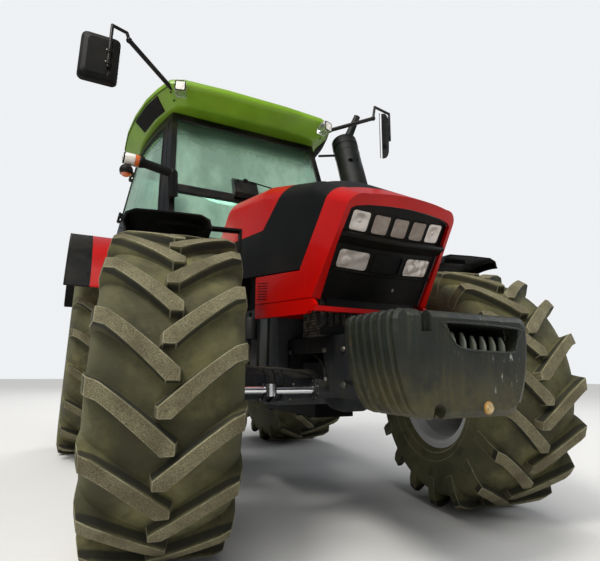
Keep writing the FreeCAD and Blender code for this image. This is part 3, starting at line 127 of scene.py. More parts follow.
class Finish:
    """The shader of a material, or of the world, while it is being made."""

    def __init__(self, holder, shader="Principled BSDF", output="Material Output"):
        self.material = bpy.data.materials.new(holder) if isinstance(holder, str) else holder
        self.material.use_nodes = True
        self.nodes = self.material.node_tree.nodes
        self.links = self.material.node_tree.links
        self.shader = self.nodes[shader]
        self.surface = self.nodes[output].inputs["Surface"]

    def join(self, value, socket):
        if isinstance(value, Tap):
            self.links.new(value.socket, socket)
        elif socket.type == "RGBA":
            socket.default_value = (*value[:3], 1.0)
        else:
            socket.default_value = value

    def node(self, kind, settings=None, inputs=None, output=0):
        """Any node: its settings first, then values or links for its sockets."""
        made = self.nodes.new(kind)
        for key, value in (settings or {}).items():
            setattr(made, key, value)
        for key, value in (inputs or {}).items():
            self.join(value, made.inputs[key])
        return Tap(self, made.outputs[output])

    def place(self):
        """The point on the piece, in metres."""
        return self.node("ShaderNodeTexCoord", output="Object")

    def axes(self, vector):
        across = self.node("ShaderNodeSeparateXYZ", None, {0: vector})
        return across, across.beside(1), across.beside(2)

    def upness(self):
        """How far the surface faces up, from -1 to 1, on the piece at rest."""
        return self.axes(self.node("ShaderNodeTexCoord", output="Normal"))[2]

    def stretched(self, x, y, z):
        return self.node("ShaderNodeVectorMath", {"operation": "MULTIPLY"}, {0: self.place(), 1: (x, y, z)})

    def noise(self, scale, detail=4.0, rough=0.55, vector=None):
        inputs = {"Vector": vector or self.place(), "Scale": scale, "Detail": detail, "Roughness": rough}
        return self.node("ShaderNodeTexNoise", None, inputs, output="Fac")

    def cells(self, scale, vector=None):
        inputs = {"Vector": vector or self.place(), "Scale": scale}
        return self.node("ShaderNodeTexVoronoi", None, inputs, output="Distance")

    def mix(self, share, low, high):
        """A colour between two colours."""
        return self.node("ShaderNodeMix", {"data_type": "RGBA"}, {0: share, 6: low, 7: high}, output=2)

    def bump(self, height, distance=0.002, strength=1.0):
        inputs = {"Height": height, "Distance": distance, "Strength": strength}
        return self.node("ShaderNodeBump", None, inputs)

    def cover(self, share, layer):
        """Another shader over this one, as thick as its share."""
        under = Tap(self, self.shader.outputs[0])
        self.join(self.node("ShaderNodeMixShader", None, {0: share, 1: under, 2: layer}), self.surface)

    def set(self, **values):
        """Shader sockets by name, with underscores for spaces."""
        for key, value in values.items():
            self.join(value, self.shader.inputs[key.replace("_", " ")])
        return self.material


DUST = tint(168, 152, 118)
MUD = tint(112, 98, 62)
RUST = tint(112, 62, 28)
RUN_STAIN = tint(84, 78, 46)
SCRATCH = tint(170, 160, 150)
SCUFF = tint(168, 172, 160)
WET_EARTH = tint(26, 25, 15)


def lighter(colour, factor):
    """A worn and paler form of a dark colour."""
    return tuple(min(1.0, c * factor + 0.004) for c in colour)


def dusted(finish, colour, amount, scale=3.0):
    """A colour under dust, thickest on what faces up and in drifts elsewhere, and the dust's share."""
    drift = finish.noise(scale, 6.0, 0.62).rises(0.42, 0.78)
    fine = finish.noise(55.0 * scale / 3.0, 4.0, 0.7).rises(0.35, 0.75)
    lying = finish.upness().rises(0.1, 1.0) * 0.55 + 0.28
    share = (lying * drift * (fine * 0.6 + 0.55) * amount).held()
    return finish.mix(share, colour, DUST), share


def paint_finish(name, colour, rough=0.28, dust=0.22, coat=0.7, shine=0.5):
    """Sprayed paint: a clear coat over a slightly uneven colour, with orange peel, dust and scratches."""
    f = Finish(name)
    deep = tuple(c * 0.72 for c in colour)
    body = f.mix(f.noise(1.7, 3.0).rises(0.35, 0.7), deep, colour)
    body, share = dusted(f, body, dust)
    hair = f.cells(38.0, f.stretched(1.0, 0.12, 1.6)).rises(0.035, 0.0) * f.noise(9.0).rises(0.52, 0.62)
    body = f.mix((hair * 0.22).held(), body, SCRATCH)
    return f.set(Base_Color=body, Roughness=(share * 0.6 + hair * 0.2 + rough).held(), Coat_Weight=coat,
                 Coat_Roughness=0.08, Specular_IOR_Level=shine, Normal=f.bump(f.noise(420.0, 2.0), 0.00018))


def plastic_finish(name, colour, rough=0.42, dust=0.4, shine=0.5):
    """Moulded plastic with a fine grain, paler where it has weathered, under dust and dried splashes."""
    f = Finish(name)
    body = f.mix(f.noise(2.6, 5.0).rises(0.45, 0.85), colour, lighter(colour, 1.7))
    body, share = dusted(f, body, dust)
    spots = f.cells(34.0).rises(0.16, 0.07) * f.noise(5.0).rises(0.55, 0.7)
    body = f.mix((spots * 0.5 * dust).held(), body, MUD)
    return f.set(Base_Color=body, Roughness=(share * 0.45 + spots * 0.2 + rough).held(),
                 Specular_IOR_Level=shine, Normal=f.bump(f.noise(700.0, 3.0), 0.00035))


def cast_finish(name, colour, dust=0.5, rust=0.15, rough=0.55, pits=0.0012, stain=0.4, scuffs=0.0, low=0.0,
                shine=0.5):
    """Painted casting: sand-cast skin, chips to rust, stains that run down, scuffs and dust on ledges."""
    f = Finish(name)
    body = f.mix(f.noise(6.0, 5.0, 0.6).rises(0.35, 0.75), colour, lighter(colour, 1.5))
    streaks = f.noise(5.0, 5.0, 0.6, f.stretched(7.0, 7.0, 0.55)).rises(0.5, 0.78)
    if low:
        z = f.axes(f.place())[2]
        streaks = (streaks * 0.5 + z.rises(low + 0.22, low) * f.noise(9.0, 6.0, 0.7).rises(0.25, 0.62)).held()
    body = f.mix((streaks * stain).held(), body, RUN_STAIN)
    chips = f.noise(26.0, 6.0, 0.7).rises(0.63, 0.67) * f.noise(2.2).rises(0.42, 0.62)
    body = f.mix((chips * rust * 5.0).held(), body, RUST)
    if scuffs:
        hair = f.noise(46.0, 6.0, 0.75, f.stretched(1.0, 1.0, 0.28)).rises(0.60, 0.68)
        body = f.mix((hair * f.noise(4.0).rises(0.5, 0.66) * scuffs).held(), body, SCUFF)
    body, share = dusted(f, body, dust, 4.0)
    height = f.noise(190.0, 4.0, 0.65) + f.noise(24.0, 3.0) * 1.6
    return f.set(Base_Color=body, Roughness=(share * 0.3 + chips * 0.2 + rough).held(),
                 Specular_IOR_Level=shine, Normal=f.bump(height, pits))


def rubber_finish(name, radius):
    """A tyre's rubber: painted shade on the bars' flanks, dry earth in the grooves and on the sidewalls."""
    f = Finish(name)
    _, y, z = f.axes(f.place())
    out = (y * y + z * z) ** 0.5
    # painted shade: a band up the bars' sides, above the groove floor and below the bar tops
    flank_shade = out.rises(radius - 0.044, radius - 0.034) * out.rises(radius - 0.004, radius - 0.016)
    tread = out.rises(radius - 0.10, radius - 0.055)
    groove = f.mix(f.noise(3.2, 5.0, 0.6).rises(0.35, 0.7), tint(66, 64, 40), tint(116, 113, 72))
    side = f.mix(f.noise(2.0, 5.0).rises(0.3, 0.75), tint(70, 69, 46), tint(106, 104, 70))
    body = f.mix(tread, side, groove)
    damp = f.noise(7.0, 6.0, 0.7).rises(0.50, 0.68)
    body = f.mix((damp * 0.45).held(), body, WET_EARTH)
    # the bars' sides darkened to near black: painted shade
    body = f.mix((flank_shade * 0.85).held(), body, tint(25, 25, 16))
    height = f.noise(230.0, 5.0, 0.75) * 1.6 + f.noise(60.0, 5.0, 0.7) * 1.8 + f.noise(14.0, 4.0) * 1.2
    return f.set(Base_Color=body, Roughness=(f.noise(8.0) * 0.15 + 0.74).held(), Normal=f.bump(height))


def bar_top_finish(name, low, high):
    """The worn top of a tread bar: sandy grey rubber with fine grit, soil in patches and small cuts."""
    f = Finish(name)
    body = f.mix(f.noise(250.0, 5.0, 0.75).rises(0.30, 0.70), low, high)
    body = f.mix((f.noise(6.0, 5.0, 0.65).rises(0.38, 0.66) * 0.6).held(), body, tint(66, 56, 32))
    cuts = f.cells(90.0).rises(0.16, 0.06) * f.noise(18.0).rises(0.48, 0.62)
    body = f.mix(cuts.held(), body, tint(30, 28, 18))
    height = f.noise(260.0, 5.0, 0.75) * 1.4 + f.noise(60.0, 5.0, 0.7) * 1.6
    return f.set(Base_Color=body, Roughness=0.82, Normal=f.bump(height))


def metal_finish(name, colour, rough=0.3, dust=0.5, metallic=1.0):
    """Bare or plated metal with handling marks, dull where dust lies."""
    f = Finish(name)
    body, share = dusted(f, colour, dust, 6.0)
    smear = f.noise(16.0, 5.0, 0.6).rises(0.4, 0.75)
    return f.set(Base_Color=body, Metallic=(metallic - share * 0.8).held(),
                 Roughness=(smear * 0.16 + share * 0.5 + rough).held(),
                 Normal=f.bump(f.noise(320.0, 3.0), 0.0002))


def glass_finish(name, colour, haze=0.34, roof_shade_from=2.72):
    """Tinted glass under a thin haze, with less haze and so darker at its top, which paints the roof's shade
    there, and streaks where it was wiped.
    """
    f = Finish(name)
    z = f.axes(f.place())[2]
    # less haze above this height darkens the glass's top: painted shade of the roof; the haze itself is dirt
    lower = z.rises(roof_shade_from + 0.14, roof_shade_from - 0.08)
    streak = f.noise(3.0, 4.0, 0.6, f.stretched(1.0, 1.0, 0.35)).rises(0.35, 0.75)
    film = ((streak * 0.35 + haze) * (lower * 0.85 + 0.15)).held()
    dirt = f.node("ShaderNodeBsdfPrincipled", None, {"Base Color": tint(172, 206, 184), "Roughness": 0.35})
    f.cover(film, dirt)
    return f.set(Base_Color=colour, Roughness=0.02, IOR=1.45, Transmission_Weight=1.0, Specular_IOR_Level=0.5)


def lens_finish(name, colour, clear=0.92):
    """A lamp's clear ribbed lens."""
    f = Finish(name)
    x = f.axes(f.place())[0] * 420.0
    film = f.noise(9.0, 4.0).rises(0.5, 0.8)
    return f.set(Base_Color=f.mix((film * 0.15).held(), colour, DUST), Roughness=(film * 0.15 + 0.03).held(),
                 Transmission_Weight=clear, IOR=1.25, Normal=f.bump(x.math("SINE", x), 0.0003, 0.4))


def mesh_finish(name, colour, hole_shade, scale, worn=tint(150, 138, 120)):
    """Woven or pierced sheet: round holes in rows, painted in a darker colour for the shade inside them, with a
    worn colour in specks.
    """
    f = Finish(name)
    x, _, z = f.axes(f.stretched(scale, scale, scale))
    rows = x.math("SINE", x) * z.math("SINE", z)
    pierced = rows.rises(-0.1, 0.45)
    speck = f.noise(40.0, 4.0).rises(0.4, 0.7)
    # the holes are only colour: the darker colour paints the shade inside them
    body = f.mix(pierced, f.mix(speck, colour, worn), hole_shade)
    return f.set(Base_Color=body, Roughness=0.7, Normal=f.bump(1.0 - pierced, 0.0015))


def cloth_finish(name, colour, thread=900.0):
    """Seat cloth: two sets of crossing threads, lint and a little wear."""
    f = Finish(name)
    x, y, z = f.axes(f.stretched(thread, thread, thread))
    weave = x.math("SINE", x + z * 0.5) * y.math("SINE", y - z * 0.5)
    body = f.mix(weave.rises(-0.6, 0.6), tuple(c * 0.6 for c in colour), colour)
    body = f.mix((f.noise(6.0, 5.0).rises(0.4, 0.75) * 0.3).held(), body, DUST)
    return f.set(Base_Color=body, Roughness=0.9, Sheen_Weight=0.3, Normal=f.bump(weave, 0.0008))


# Meshes
BODY_OF = {node: body for body, nodes in frame["record"]["behaviour"]["bodies"].items() for node in nodes}
SLOT_OF = {row["node"]: row["material_slot"] for row in frame["record"]["subparts"]}
JOINT = {row["name"]: row for row in frame["joints"]}
FINISHES = {}
WELD = 1e-5
EDGE_ANGLE = 32
NODE_EDGE_ANGLE = 30
FLAT_ANGLE = 1.5
ROUND_ANGLE = 60
WASHER_OVER_HEAD = 1.35


class Stock:
    """Vertices and faces of one piece, gathered part by part before they become its mesh."""

    def __init__(self):
        self.points = []
        self.faces = []
        self.marks = []

    def add(self, points, faces, mark=0, place=None):
        """Faces with the number of their finish, or a list of such numbers."""
        base = len(self.points)
        points = [Vector(p) for p in points]
        self.points += [place @ p for p in points] if place is not None else points
        self.faces += [[base + i for i in f] for f in faces]
        self.marks += mark if isinstance(mark, list) else [mark] * len(faces)

    def skin(self, rings, mark=0, closed=True, round_trip=False, caps=True, place=None):
        """Quads between rings of equal length; closed rings join end to start."""
        n, points = len(rings[0]), [p for ring in rings for p in ring]
        faces = []
        spans = len(rings) if round_trip else len(rings) - 1
        for i in range(spans):
            a, b = i * n, (i + 1) % len(rings) * n
            for j in range(n if closed else n - 1):
                k = (j + 1) % n
                faces.append((a + j, a + k, b + k, b + j))
        if caps and not round_trip and closed:
            faces.append(tuple(range(n))[::-1])
            faces.append(tuple((len(rings) - 1) * n + j for j in range(n)))
        self.add(points, faces, mark, place)

    def block(self, low, high, mark=0, place=None):
        (x0, y0, z0), (x1, y1, z1) = low, high
        ring = [(x0, y0), (x1, y0), (x1, y1), (x0, y1)]
        self.skin([[(x, y, z) for x, y in ring] for z in (z0, z1)], mark, place=place)

    def slab(self, outline, depth, mark=0, place=None):
        """An outline in the local XZ plane, made thick along Y from depth[0] to depth[1]."""
        self.skin([[(x, y, z) for x, z in outline] for y in depth], mark, place=place)

    def lathe(self, profile, count=48, mark=0, place=None):
        """A profile of (along, radius) turned about the local X axis."""
        turns = [TAU * i / count for i in range(count)]
        rings = [[(x, r * math.cos(a), r * math.sin(a)) for x, r in profile] for a in turns]
        self.skin(rings, mark, closed=False, round_trip=True, place=place)

    def turned(self, at, toward, profile, count=24, mark=0):
        """A profile of (along, radius) turned about a line from a point in a direction."""
        self.lathe(profile, count, mark, frame_along(Vector(at), Vector(at) + Vector(toward)))

    def knob(self, at, toward, profile, count=24, mark=0):
        """A turned profile that starts on its own axis."""
        self.turned(at, toward, [(profile[0][0], 0)] + list(profile), count, mark)

    def rod(self, start, end, radius, count, mark=0):
        length = (Vector(end) - Vector(start)).length
        self.turned(start, Vector(end) - Vector(start), [(0, 0), (0, radius), (length, radius), (length, 0)],
                    count, mark)

    def pipe(self, path, radius, count, mark=0, caps=True):
        """A round section carried along a path without twisting."""
        path = [Vector(p) for p in path]
        turns = [TAU * j / count for j in range(count)]
        rings = []
        side = None
        for i, p in enumerate(path):
            ahead = (path[min(i + 1, len(path) - 1)] - path[max(i - 1, 0)]).normalized()
            if side is None:
                side = ahead.orthogonal().normalized()
            side = (side - ahead * side.dot(ahead)).normalized()
            other = ahead.cross(side)
            rings.append([p + (side * math.cos(a) + other * math.sin(a)) * radius for a in turns])
        self.skin(rings, mark, caps=caps)

    def loop(self, points, radius, count, mark=0):
        """A pipe whose end meets its start."""
        self.pipe(list(points) + [points[0]], radius, count, mark, caps=False)

    def hose(self, stops, radius, count=12, mark=2, steps=5):
        """A pipe on a smooth line through its stops."""
        self.pipe(smooth_line(stops, steps), radius, count, mark)

    def frame_round(self, corners, radius, count):
        """A straight pipe along each side of an outline."""
        for a, b in zip(corners, corners[1:] + corners[:1]):
            self.pipe([a, b], radius, count)

    def bolt(self, centre, toward, size, height, mark=0):
        """A hexagon head over its washer; size is the head's half width."""
        foot, wide = height * 0.2, size * WASHER_OVER_HEAD
        self.turned(centre, toward, [(0, 0), (0, wide), (foot, wide), (foot, 0)], 14, mark)
        head = [(foot, 0), (foot, size), (height * 0.9, size), (height, size * 0.85), (height, 0)]
        self.turned(centre, toward, head, 6, mark)

    def piece(self, name, finishes, node, replaces=(), bevel=0.0, smooth=35.0, place=None,
              bevel_mark=-1):
        """Makes the piece; its finishes are named in the order of the faces' numbers."""
        mesh = bpy.data.meshes.new(name)
        mesh.from_pydata([tuple(p) for p in self.points], [], self.faces)
        for finish in finishes.split():
            mesh.materials.append(FINISHES[finish])
        for face, mark in zip(mesh.polygons, self.marks):
            face.material_index = mark
        work = bmesh.new()
        work.from_mesh(mesh)
        bmesh.ops.remove_doubles(work, verts=work.verts, dist=WELD)
        bmesh.ops.delete(work, geom=[v for v in work.verts if not v.link_faces], context="VERTS")
        bmesh.ops.recalc_face_normals(work, faces=work.faces)
        work.to_mesh(mesh)
        work.free()
        made = show(name, mesh)
        if place is not None:
            made.matrix_world = place
        if bevel:
            round_edges(made, bevel, EDGE_ANGLE, bevel_mark)
        shade_smooth(made, smooth)
        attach(made, BODY_OF[node])
        if replaces:
            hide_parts(*replaces)


def show(name, data):
    """A new object in the scene."""
    made = bpy.data.objects.new(name, data)
    bpy.context.scene.collection.objects.link(made)
    return made


def round_edges(made, width, angle, mark=-1):
    edge = made.modifiers.new("Edges", "BEVEL")
    edge.width = width
    edge.segments = 2
    edge.limit_method = "ANGLE"
    edge.angle_limit = math.radians(angle)
    edge.use_clamp_overlap = True
    edge.material = mark


def even_normals(made, weight=50):
    even = made.modifiers.new("Even", "WEIGHTED_NORMAL")
    even.keep_sharp = True
    even.weight = weight


def shade_smooth(made, angle):
    made.data.polygons.foreach_set("use_smooth", [True] * len(made.data.polygons))
    if made.modifiers and made.modifiers[-1].type == "BEVEL":
        even_normals(made, 60)
        angle = max(angle, ROUND_ANGLE)
    made.data.set_sharp_from_angle(angle=math.radians(angle))


def dress_node(node, width):
    """Gives a construction node its finish and, where a width is given, rounds its edges with modifiers."""
    made = frame["nodes"][node]
    made.data.materials.clear()
    made.data.materials.append(FINISHES[SLOT_OF[node]])
    if width:
        weld = made.modifiers.new("Weld", "WELD")
        weld.merge_threshold = WELD
        flat = made.modifiers.new("Flat", "DECIMATE")
        flat.decimate_type = "DISSOLVE"
        flat.angle_limit = math.radians(FLAT_ANGLE)
        round_edges(made, width, NODE_EDGE_ANGLE)
        even_normals(made)


def frame_along(start, end):
    """A matrix whose X axis runs from start toward end."""
    turn = (Vector(end) - Vector(start)).to_track_quat("X", "Z").to_matrix().to_4x4()
    return Matrix.Translation(start) @ turn


def middle(node):
    low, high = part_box(node)
    return (low + high) / 2


def ring_of(count, radius, start=0.0):
    """Pairs of radius times cosine and sine at even places round a circle, from a start in degrees."""
    turns = [math.radians(start) + TAU * i / count for i in range(count)]
    return [(radius * math.cos(a), radius * math.sin(a)) for a in turns]


def arc_points(centre, radius, low, high, count):
    """Points on an arc, angles in degrees from +X toward +Y of the plane; ends included."""
    turns = [math.radians(low + (high - low) * i / (count - 1)) for i in range(count)]
    return [(centre[0] + radius * math.cos(a), centre[1] + radius * math.sin(a)) for a in turns]


def smooth_line(points, steps=4, closed=False):
    """A Catmull-Rom line through points of any dimension."""
    points = [Vector(p) for p in points]
    n = len(points)
    made = []
    for i in range(n if closed else n - 1):
        if closed:
            a, b, c, d = (points[(i + k) % n] for k in (-1, 0, 1, 2))
        else:
            a, b = points[max(i - 1, 0)], points[i]
            c, d = points[i + 1], points[min(i + 2, n - 1)]
        for k in range(steps):
            t = k / steps
            made.append(0.5 * ((2 * b) + (c - a) * t + (2 * a - 5 * b + 4 * c - d) * t * t
                               + (3 * b - a - 3 * c + d) * t ** 3))
    if not closed:
        made.append(points[-1])
    return made


def round_box(x0, x1, z0, z1, radius, steps=4):
    """A rounded rectangle's outline."""
    corners = [(x1 - radius, z1 - radius, 0), (x0 + radius, z1 - radius, 90),
               (x0 + radius, z0 + radius, 180), (x1 - radius, z0 + radius, 270)]
    made = []
    for cx, cz, a in corners:
        made += arc_points((cx, cz), radius, a, a + 90, steps + 1)
    return made


# Wheels
Wheel = namedtuple("Wheel", "radius width rim bars side")
FRONT_TYRE = (0.693, 0.546, 0.356, 18)
REAR_TYRE = (0.925, 0.660, 0.483, 20)
WHEELS = {f"{end}_{tag}": Wheel(*sizes, side)
          for end, sizes in (("front", FRONT_TYRE), ("rear", REAR_TYRE)) for side, tag in SIDES}
BAR_HEIGHT = 0.048


def wheel_place(wheel):
    """Where a wheel stands: local X is its axis, outward on the left side."""
    axis = Vector(JOINT[wheel + "_spin"]["axis"])
    turn = Vector((1, 0, 0)).rotation_difference(axis).to_matrix().to_4x4()
    return Matrix.Translation(middle("tyre_" + wheel)) @ turn


def casing_line(tyre):
    """Half of the casing's section, (across, radius), from the middle of the tread to the bead."""
    carcass, half = tyre.radius - BAR_HEIGHT, tyre.width / 2
    wall = carcass - tyre.rim
    # columns: across over the half width, drop below the carcass
    crown = ((0.0, 0.0), (0.34, 0.003), (0.62, 0.012), (0.85, 0.032))
    # columns: across over the half width, share of the wall's height
    sidewall = ((0.962, 0.77), (0.998, 0.58), (0.98, 0.36), (0.90, 0.17), (0.78, 0.055))
    stops = [(x * half, carcass - drop, 0) for x, drop in crown]
    stops += [(x * half, tyre.rim + share * wall, 0) for x, share in sidewall]
    return [tuple(p) for p in smooth_line(stops + [(0.71 * half, tyre.rim + 0.004, 0)], 3)]


def along_line(line, distance):
    """The point and outward normal at a distance along a section line; negative distances mirror it."""
    sign = -1 if distance < 0 else 1
    distance = abs(distance)
    for (x0, r0, _), (x1, r1, _) in zip(line, line[1:]):
        step = math.hypot(x1 - x0, r1 - r0)
        if distance <= step or (x1, r1) == line[-1][:2]:
            t = min(1.0, distance / step)
            n = Vector((r0 - r1, x1 - x0)).normalized()
            return sign * (x0 + (x1 - x0) * t), r0 + (r1 - r0) * t, sign * n.x, n.y
        distance -= step


# place across over the half width, share of the bar's height, half breadth of its crown
BAR_STATIONS = (
    (-0.150, 0.05, 0.034), (-0.115, 1.0, 0.036), (0.05, 1.0, 0.037), (0.18, 1.0, 0.035), (0.34, 1.0, 0.033),
    (0.50, 1.0, 0.031), (0.66, 1.0, 0.029), (0.80, 1.0, 0.028), (0.885, 1.0, 0.028), (0.945, 0.62, 0.031),
    (1.02, 0.34, 0.034), (1.12, 0.14, 0.036), (1.22, 0.03, 0.037),
)
BAR_FLARE = 0.011
BAR_ROOT = -0.012
SHOULDER = 0.86
SHOULDER_END = SHOULDER + 0.05
NOSE_CUT = 0.05
FRONT_PHASE = -4.0


def bar_swing(across, pitch):
    """How far round the tyre a bar's middle lies from its start, at a place across it."""
    reach = max(0.0, min(1.0, (across + 0.10) / 1.085))
    return (-0.43 + 0.98 * (1 - reach) ** 1.22 - 0.10 * max(0.0, across - 0.985)) * pitch


def tread_bar(stock, line, tyre, half_side, turn):
    """One bar from its blunt nose at the middle of the tread, over the shoulder and down the sidewall."""
    half = tyre.width / 2
    carcass = tyre.radius - BAR_HEIGHT
    pitch = TAU * carcass / tyre.bars
    cut = bar_swing(NOSE_CUT, pitch) + BAR_STATIONS[2][2]
    rings = []
    for across, share, crown in BAR_STATIONS:
        x, r, nx, nr = along_line(line, across * half)
        height = BAR_HEIGHT * share
        if across < SHOULDER:
            nx, nr, height = 0.0, 1.0, (tyre.radius - r) * share
        elif across < SHOULDER_END:
            nx, nr, height = 0.25, 0.97, min(tyre.radius - 0.006 - r, BAR_HEIGHT * 1.5)
        ring = []
        corners = ((-1, BAR_FLARE, BAR_ROOT), (-1, 0, height), (1, 0, height), (1, BAR_FLARE, BAR_ROOT))
        for side, flare, lift in corners:
            along = bar_swing(across, pitch) + side * (crown + flare)
            a = turn + min(along, cut + flare) / carcass
            px = max(-half, min(half, x + nx * lift)) * half_side
            pr = r + nr * lift
            ring.append((px, -pr * math.sin(a), pr * math.cos(a)))
        rings.append(ring)
    tops = [1 if station[0] < SHOULDER_END else 0 for station in BAR_STATIONS[1:]]
    stock.skin(rings, [mark if j == 1 else 0 for mark in tops for j in range(4)] + [0, 0])


def build_tyre(wheel):
    """Casing, bead lines and two rows of bars; the bars' tops have their own rubber, and their rounded edges a
    paler one that is partly wear and partly a painted highlight.
    """
    tyre = WHEELS[wheel]
    half, rim = tyre.width / 2, tyre.rim
    line = casing_line(tyre)
    section = [(-x, r) for x, r, _ in reversed(line)] + [(x, r) for x, r, _ in line[1:]]
    stock = Stock()
    stock.lathe([(-0.66 * half, rim - 0.002)] + section + [(0.66 * half, rim - 0.002)], 96)
    wall = tyre.radius - BAR_HEIGHT - rim
    # bead lines: share of the wall's height, place across over the half width
    for share, reach in ((0.50, 0.986), (0.30, 0.955), (0.14, 0.885)):
        r = rim + share * wall
        for s in (1, -1):
            x = s * (reach * half - 0.004)
            out = x + s * 0.0065
            stock.lathe([(x, r - 0.006), (out, r - 0.003), (out, r + 0.003), (x, r + 0.006)], 96)
    front = wheel.startswith("front")
    phase = math.radians(FRONT_PHASE) if front else 0.0
    for half_side, shift in ((tyre.side, 0.0), (-tyre.side, 0.5)):
        for i in range(tyre.bars):
            tread_bar(stock, line, tyre, half_side, TAU * (i + shift) / tyre.bars + phase)
    # the third finish goes on the bars' rounded edges: pale rubber that is partly wear, partly a painted highlight
    finishes = ("front" if front else "rear") + "_rubber bar_top bar_edge"
    name = "tyre_" + wheel
    stock.piece("rubber_" + wheel, finishes, name, replaces=(name,), bevel=0.004, smooth=40,
                place=wheel_place(wheel), bevel_mark=2)


def build_hub(wheel):
    """Hub cover, wheel nuts, rim bead, valve and the bolts that clamp the disc's lugs to the rim."""
    _, width, rim, _, s = WHEELS[wheel]
    front = wheel.startswith("front")
    stock = Stock()
    face, reach, nuts, nut_ring = (0.060, 0.124, 8, 0.140) if front else (0.0, 0.085, 10, 0.185)
    hub = 0.071
    tip = face + reach
    profile = [(face - 0.01, 0.11), (face + 0.012, 0.108), (face + 0.02, hub + 0.016),
               (tip - 0.03, hub + 0.014), (tip - 0.012, hub + 0.004), (tip, hub - 0.02), (tip + 0.004, 0.0)]
    stock.lathe([(s * x, r) for x, r in profile], 48)
    for y, z in ring_of(nuts, nut_ring, 180 / nuts):
        stock.bolt((s * (face + 0.001), y, z), (s, 0, 0), 0.013, 0.024, 1)
    for y, z in ring_of(6, hub - 0.022, 15):
        stock.bolt((s * (face + reach * 0.92), y, z), (s, 0, 0), 0.006, 0.006, 1)
    disc = face + 0.06
    lug_face = disc + 0.022
    for i in range(8):
        turn = Matrix.Rotation(TAU * i / 8, 4, "X")
        stock.block((disc - 0.004, -0.045, rim - 0.105), (lug_face, 0.045, rim - 0.070), 0,
                    Matrix.Scale(s, 4, (1, 0, 0)) @ turn)
        for u in (-0.024, 0.024):
            centre = turn @ Vector((lug_face, u, rim - 0.089))
            stock.bolt((s * centre.x, centre.y, centre.z), (s, 0, 0), 0.009, 0.014, 1)
    half = 0.70 * width / 2
    # columns: out from the rim's edge, rise over the rim's radius
    lip = ((-0.004, -0.026), (0.004, -0.002), (0.012, 0.020), (0.020, 0.024), (0.025, 0.018), (0.017, -0.006),
           (0.010, -0.028))
    for out in (1, -1):
        stock.lathe([(out * (half - 0.002 + x), rim + rise) for x, rise in lip], 96)
    valve = Vector((s * (half - 0.03), 0.10, rim - 0.04))
    stock.rod(valve, valve + Vector((s * 0.035, 0, -0.012)), 0.005, 10, 1)
    stock.piece("hub_" + wheel, "rim_paint bolt_steel", "rim_" + wheel, bevel=0.0015,
                place=wheel_place(wheel))


# Floor, lights and camera
PHOTO = (600, 561)
CAMERA_POINT = (-1.336, -3.7205, 0.769)
CAMERA_TURN = (26.83, 12.59, 0.60)
CAMERA_FOCAL = 461.394
CAMERA_CENTRE = (303.73, 265.947)
SENSOR = 36.0
SEEN_SKY = (0.86, 0.88, 0.9)
LIT_SKY = (0.75, 0.8, 0.88)


def make_camera():
    """The photograph's view: turned by yaw, pitch and roll, its focal length and centre in pixels."""
    lens = bpy.data.cameras.new("View")
    lens.sensor_fit = "HORIZONTAL"
    lens.sensor_width = SENSOR
    lens.lens = CAMERA_FOCAL / PHOTO[0] * SENSOR
    lens.shift_x = (PHOTO[0] / 2 - CAMERA_CENTRE[0]) / PHOTO[0]
    lens.shift_y = (CAMERA_CENTRE[1] - PHOTO[1] / 2) / PHOTO[0]
    lens.clip_end = 200.0
    yaw, pitch, roll = (math.radians(a) for a in CAMERA_TURN)
    ahead = Vector((math.sin(yaw) * math.cos(pitch), math.cos(yaw) * math.cos(pitch), math.sin(pitch)))
    right = Vector((math.cos(yaw), -math.sin(yaw), 0.0))
    up = right.cross(ahead)
    side = right * math.cos(roll) + up * math.sin(roll)
    over = up * math.cos(roll) - right * math.sin(roll)
    view = show("View", lens)
    view.matrix_world = Matrix.Translation(CAMERA_POINT) @ Matrix((side, over, -ahead)).transposed().to_4x4()
    bpy.context.scene.camera = view


def pale_world(strength):
    """Even light from all round, behind a paler backdrop where the camera sees it, also through glass."""
    world = bpy.data.worlds.new("Studio")
    bpy.context.scene.world = world
    f = Finish(world, "Background", "World Output")
    f.set(Color=LIT_SKY, Strength=strength)
    direct = f.node("ShaderNodeLightPath", output="Is Camera Ray")
    seen = direct.math("MAXIMUM", direct, direct.beside("Is Transmission Ray"))
    f.cover(seen, f.node("ShaderNodeBackground", None, {"Color": SEEN_SKY, "Strength": 1.0}))


LAMPS = (
    # name, kind, place, point it aims at, size, share of the main lamp's power, colour
    ("Key", "AREA", (-5.0, -4.5, 8.5), (0, -0.9, 1.0), 2.4, 1.0, (1.0, 0.97, 0.92)),
    ("Fill", "AREA", (9.5, -4.5, 6.0), (0, -0.5, 1.0), 5.0, 0.55, (0.95, 0.97, 1.0)),
    ("Sky", "SUN", (-5.0, -3.0, 9.0), (0, 0, 0), 1.1, 0.0045, (1.0, 0.99, 0.96)),
    ("Back", "AREA", (3.0, 10.0, 8.5), (0, 0, 1.5), 5.0, 0.95, (1.0, 1.0, 1.0)),
)


def lamp(name, kind, place, aim, size, power, colour):
    """A soft disc of light, or for the kind SUN an even light whose size is its angle."""
    data = bpy.data.lights.new(name, kind)
    if kind == "AREA":
        data.shape = "DISK"
        data.size = size
    else:
        data.angle = size
    data.energy = power
    data.color = colour
    made = show(name, data)
    made.location = place
    made.rotation_mode = "QUATERNION"
    made.rotation_quaternion = (Vector(aim) - Vector(place)).to_track_quat("-Z", "Y")


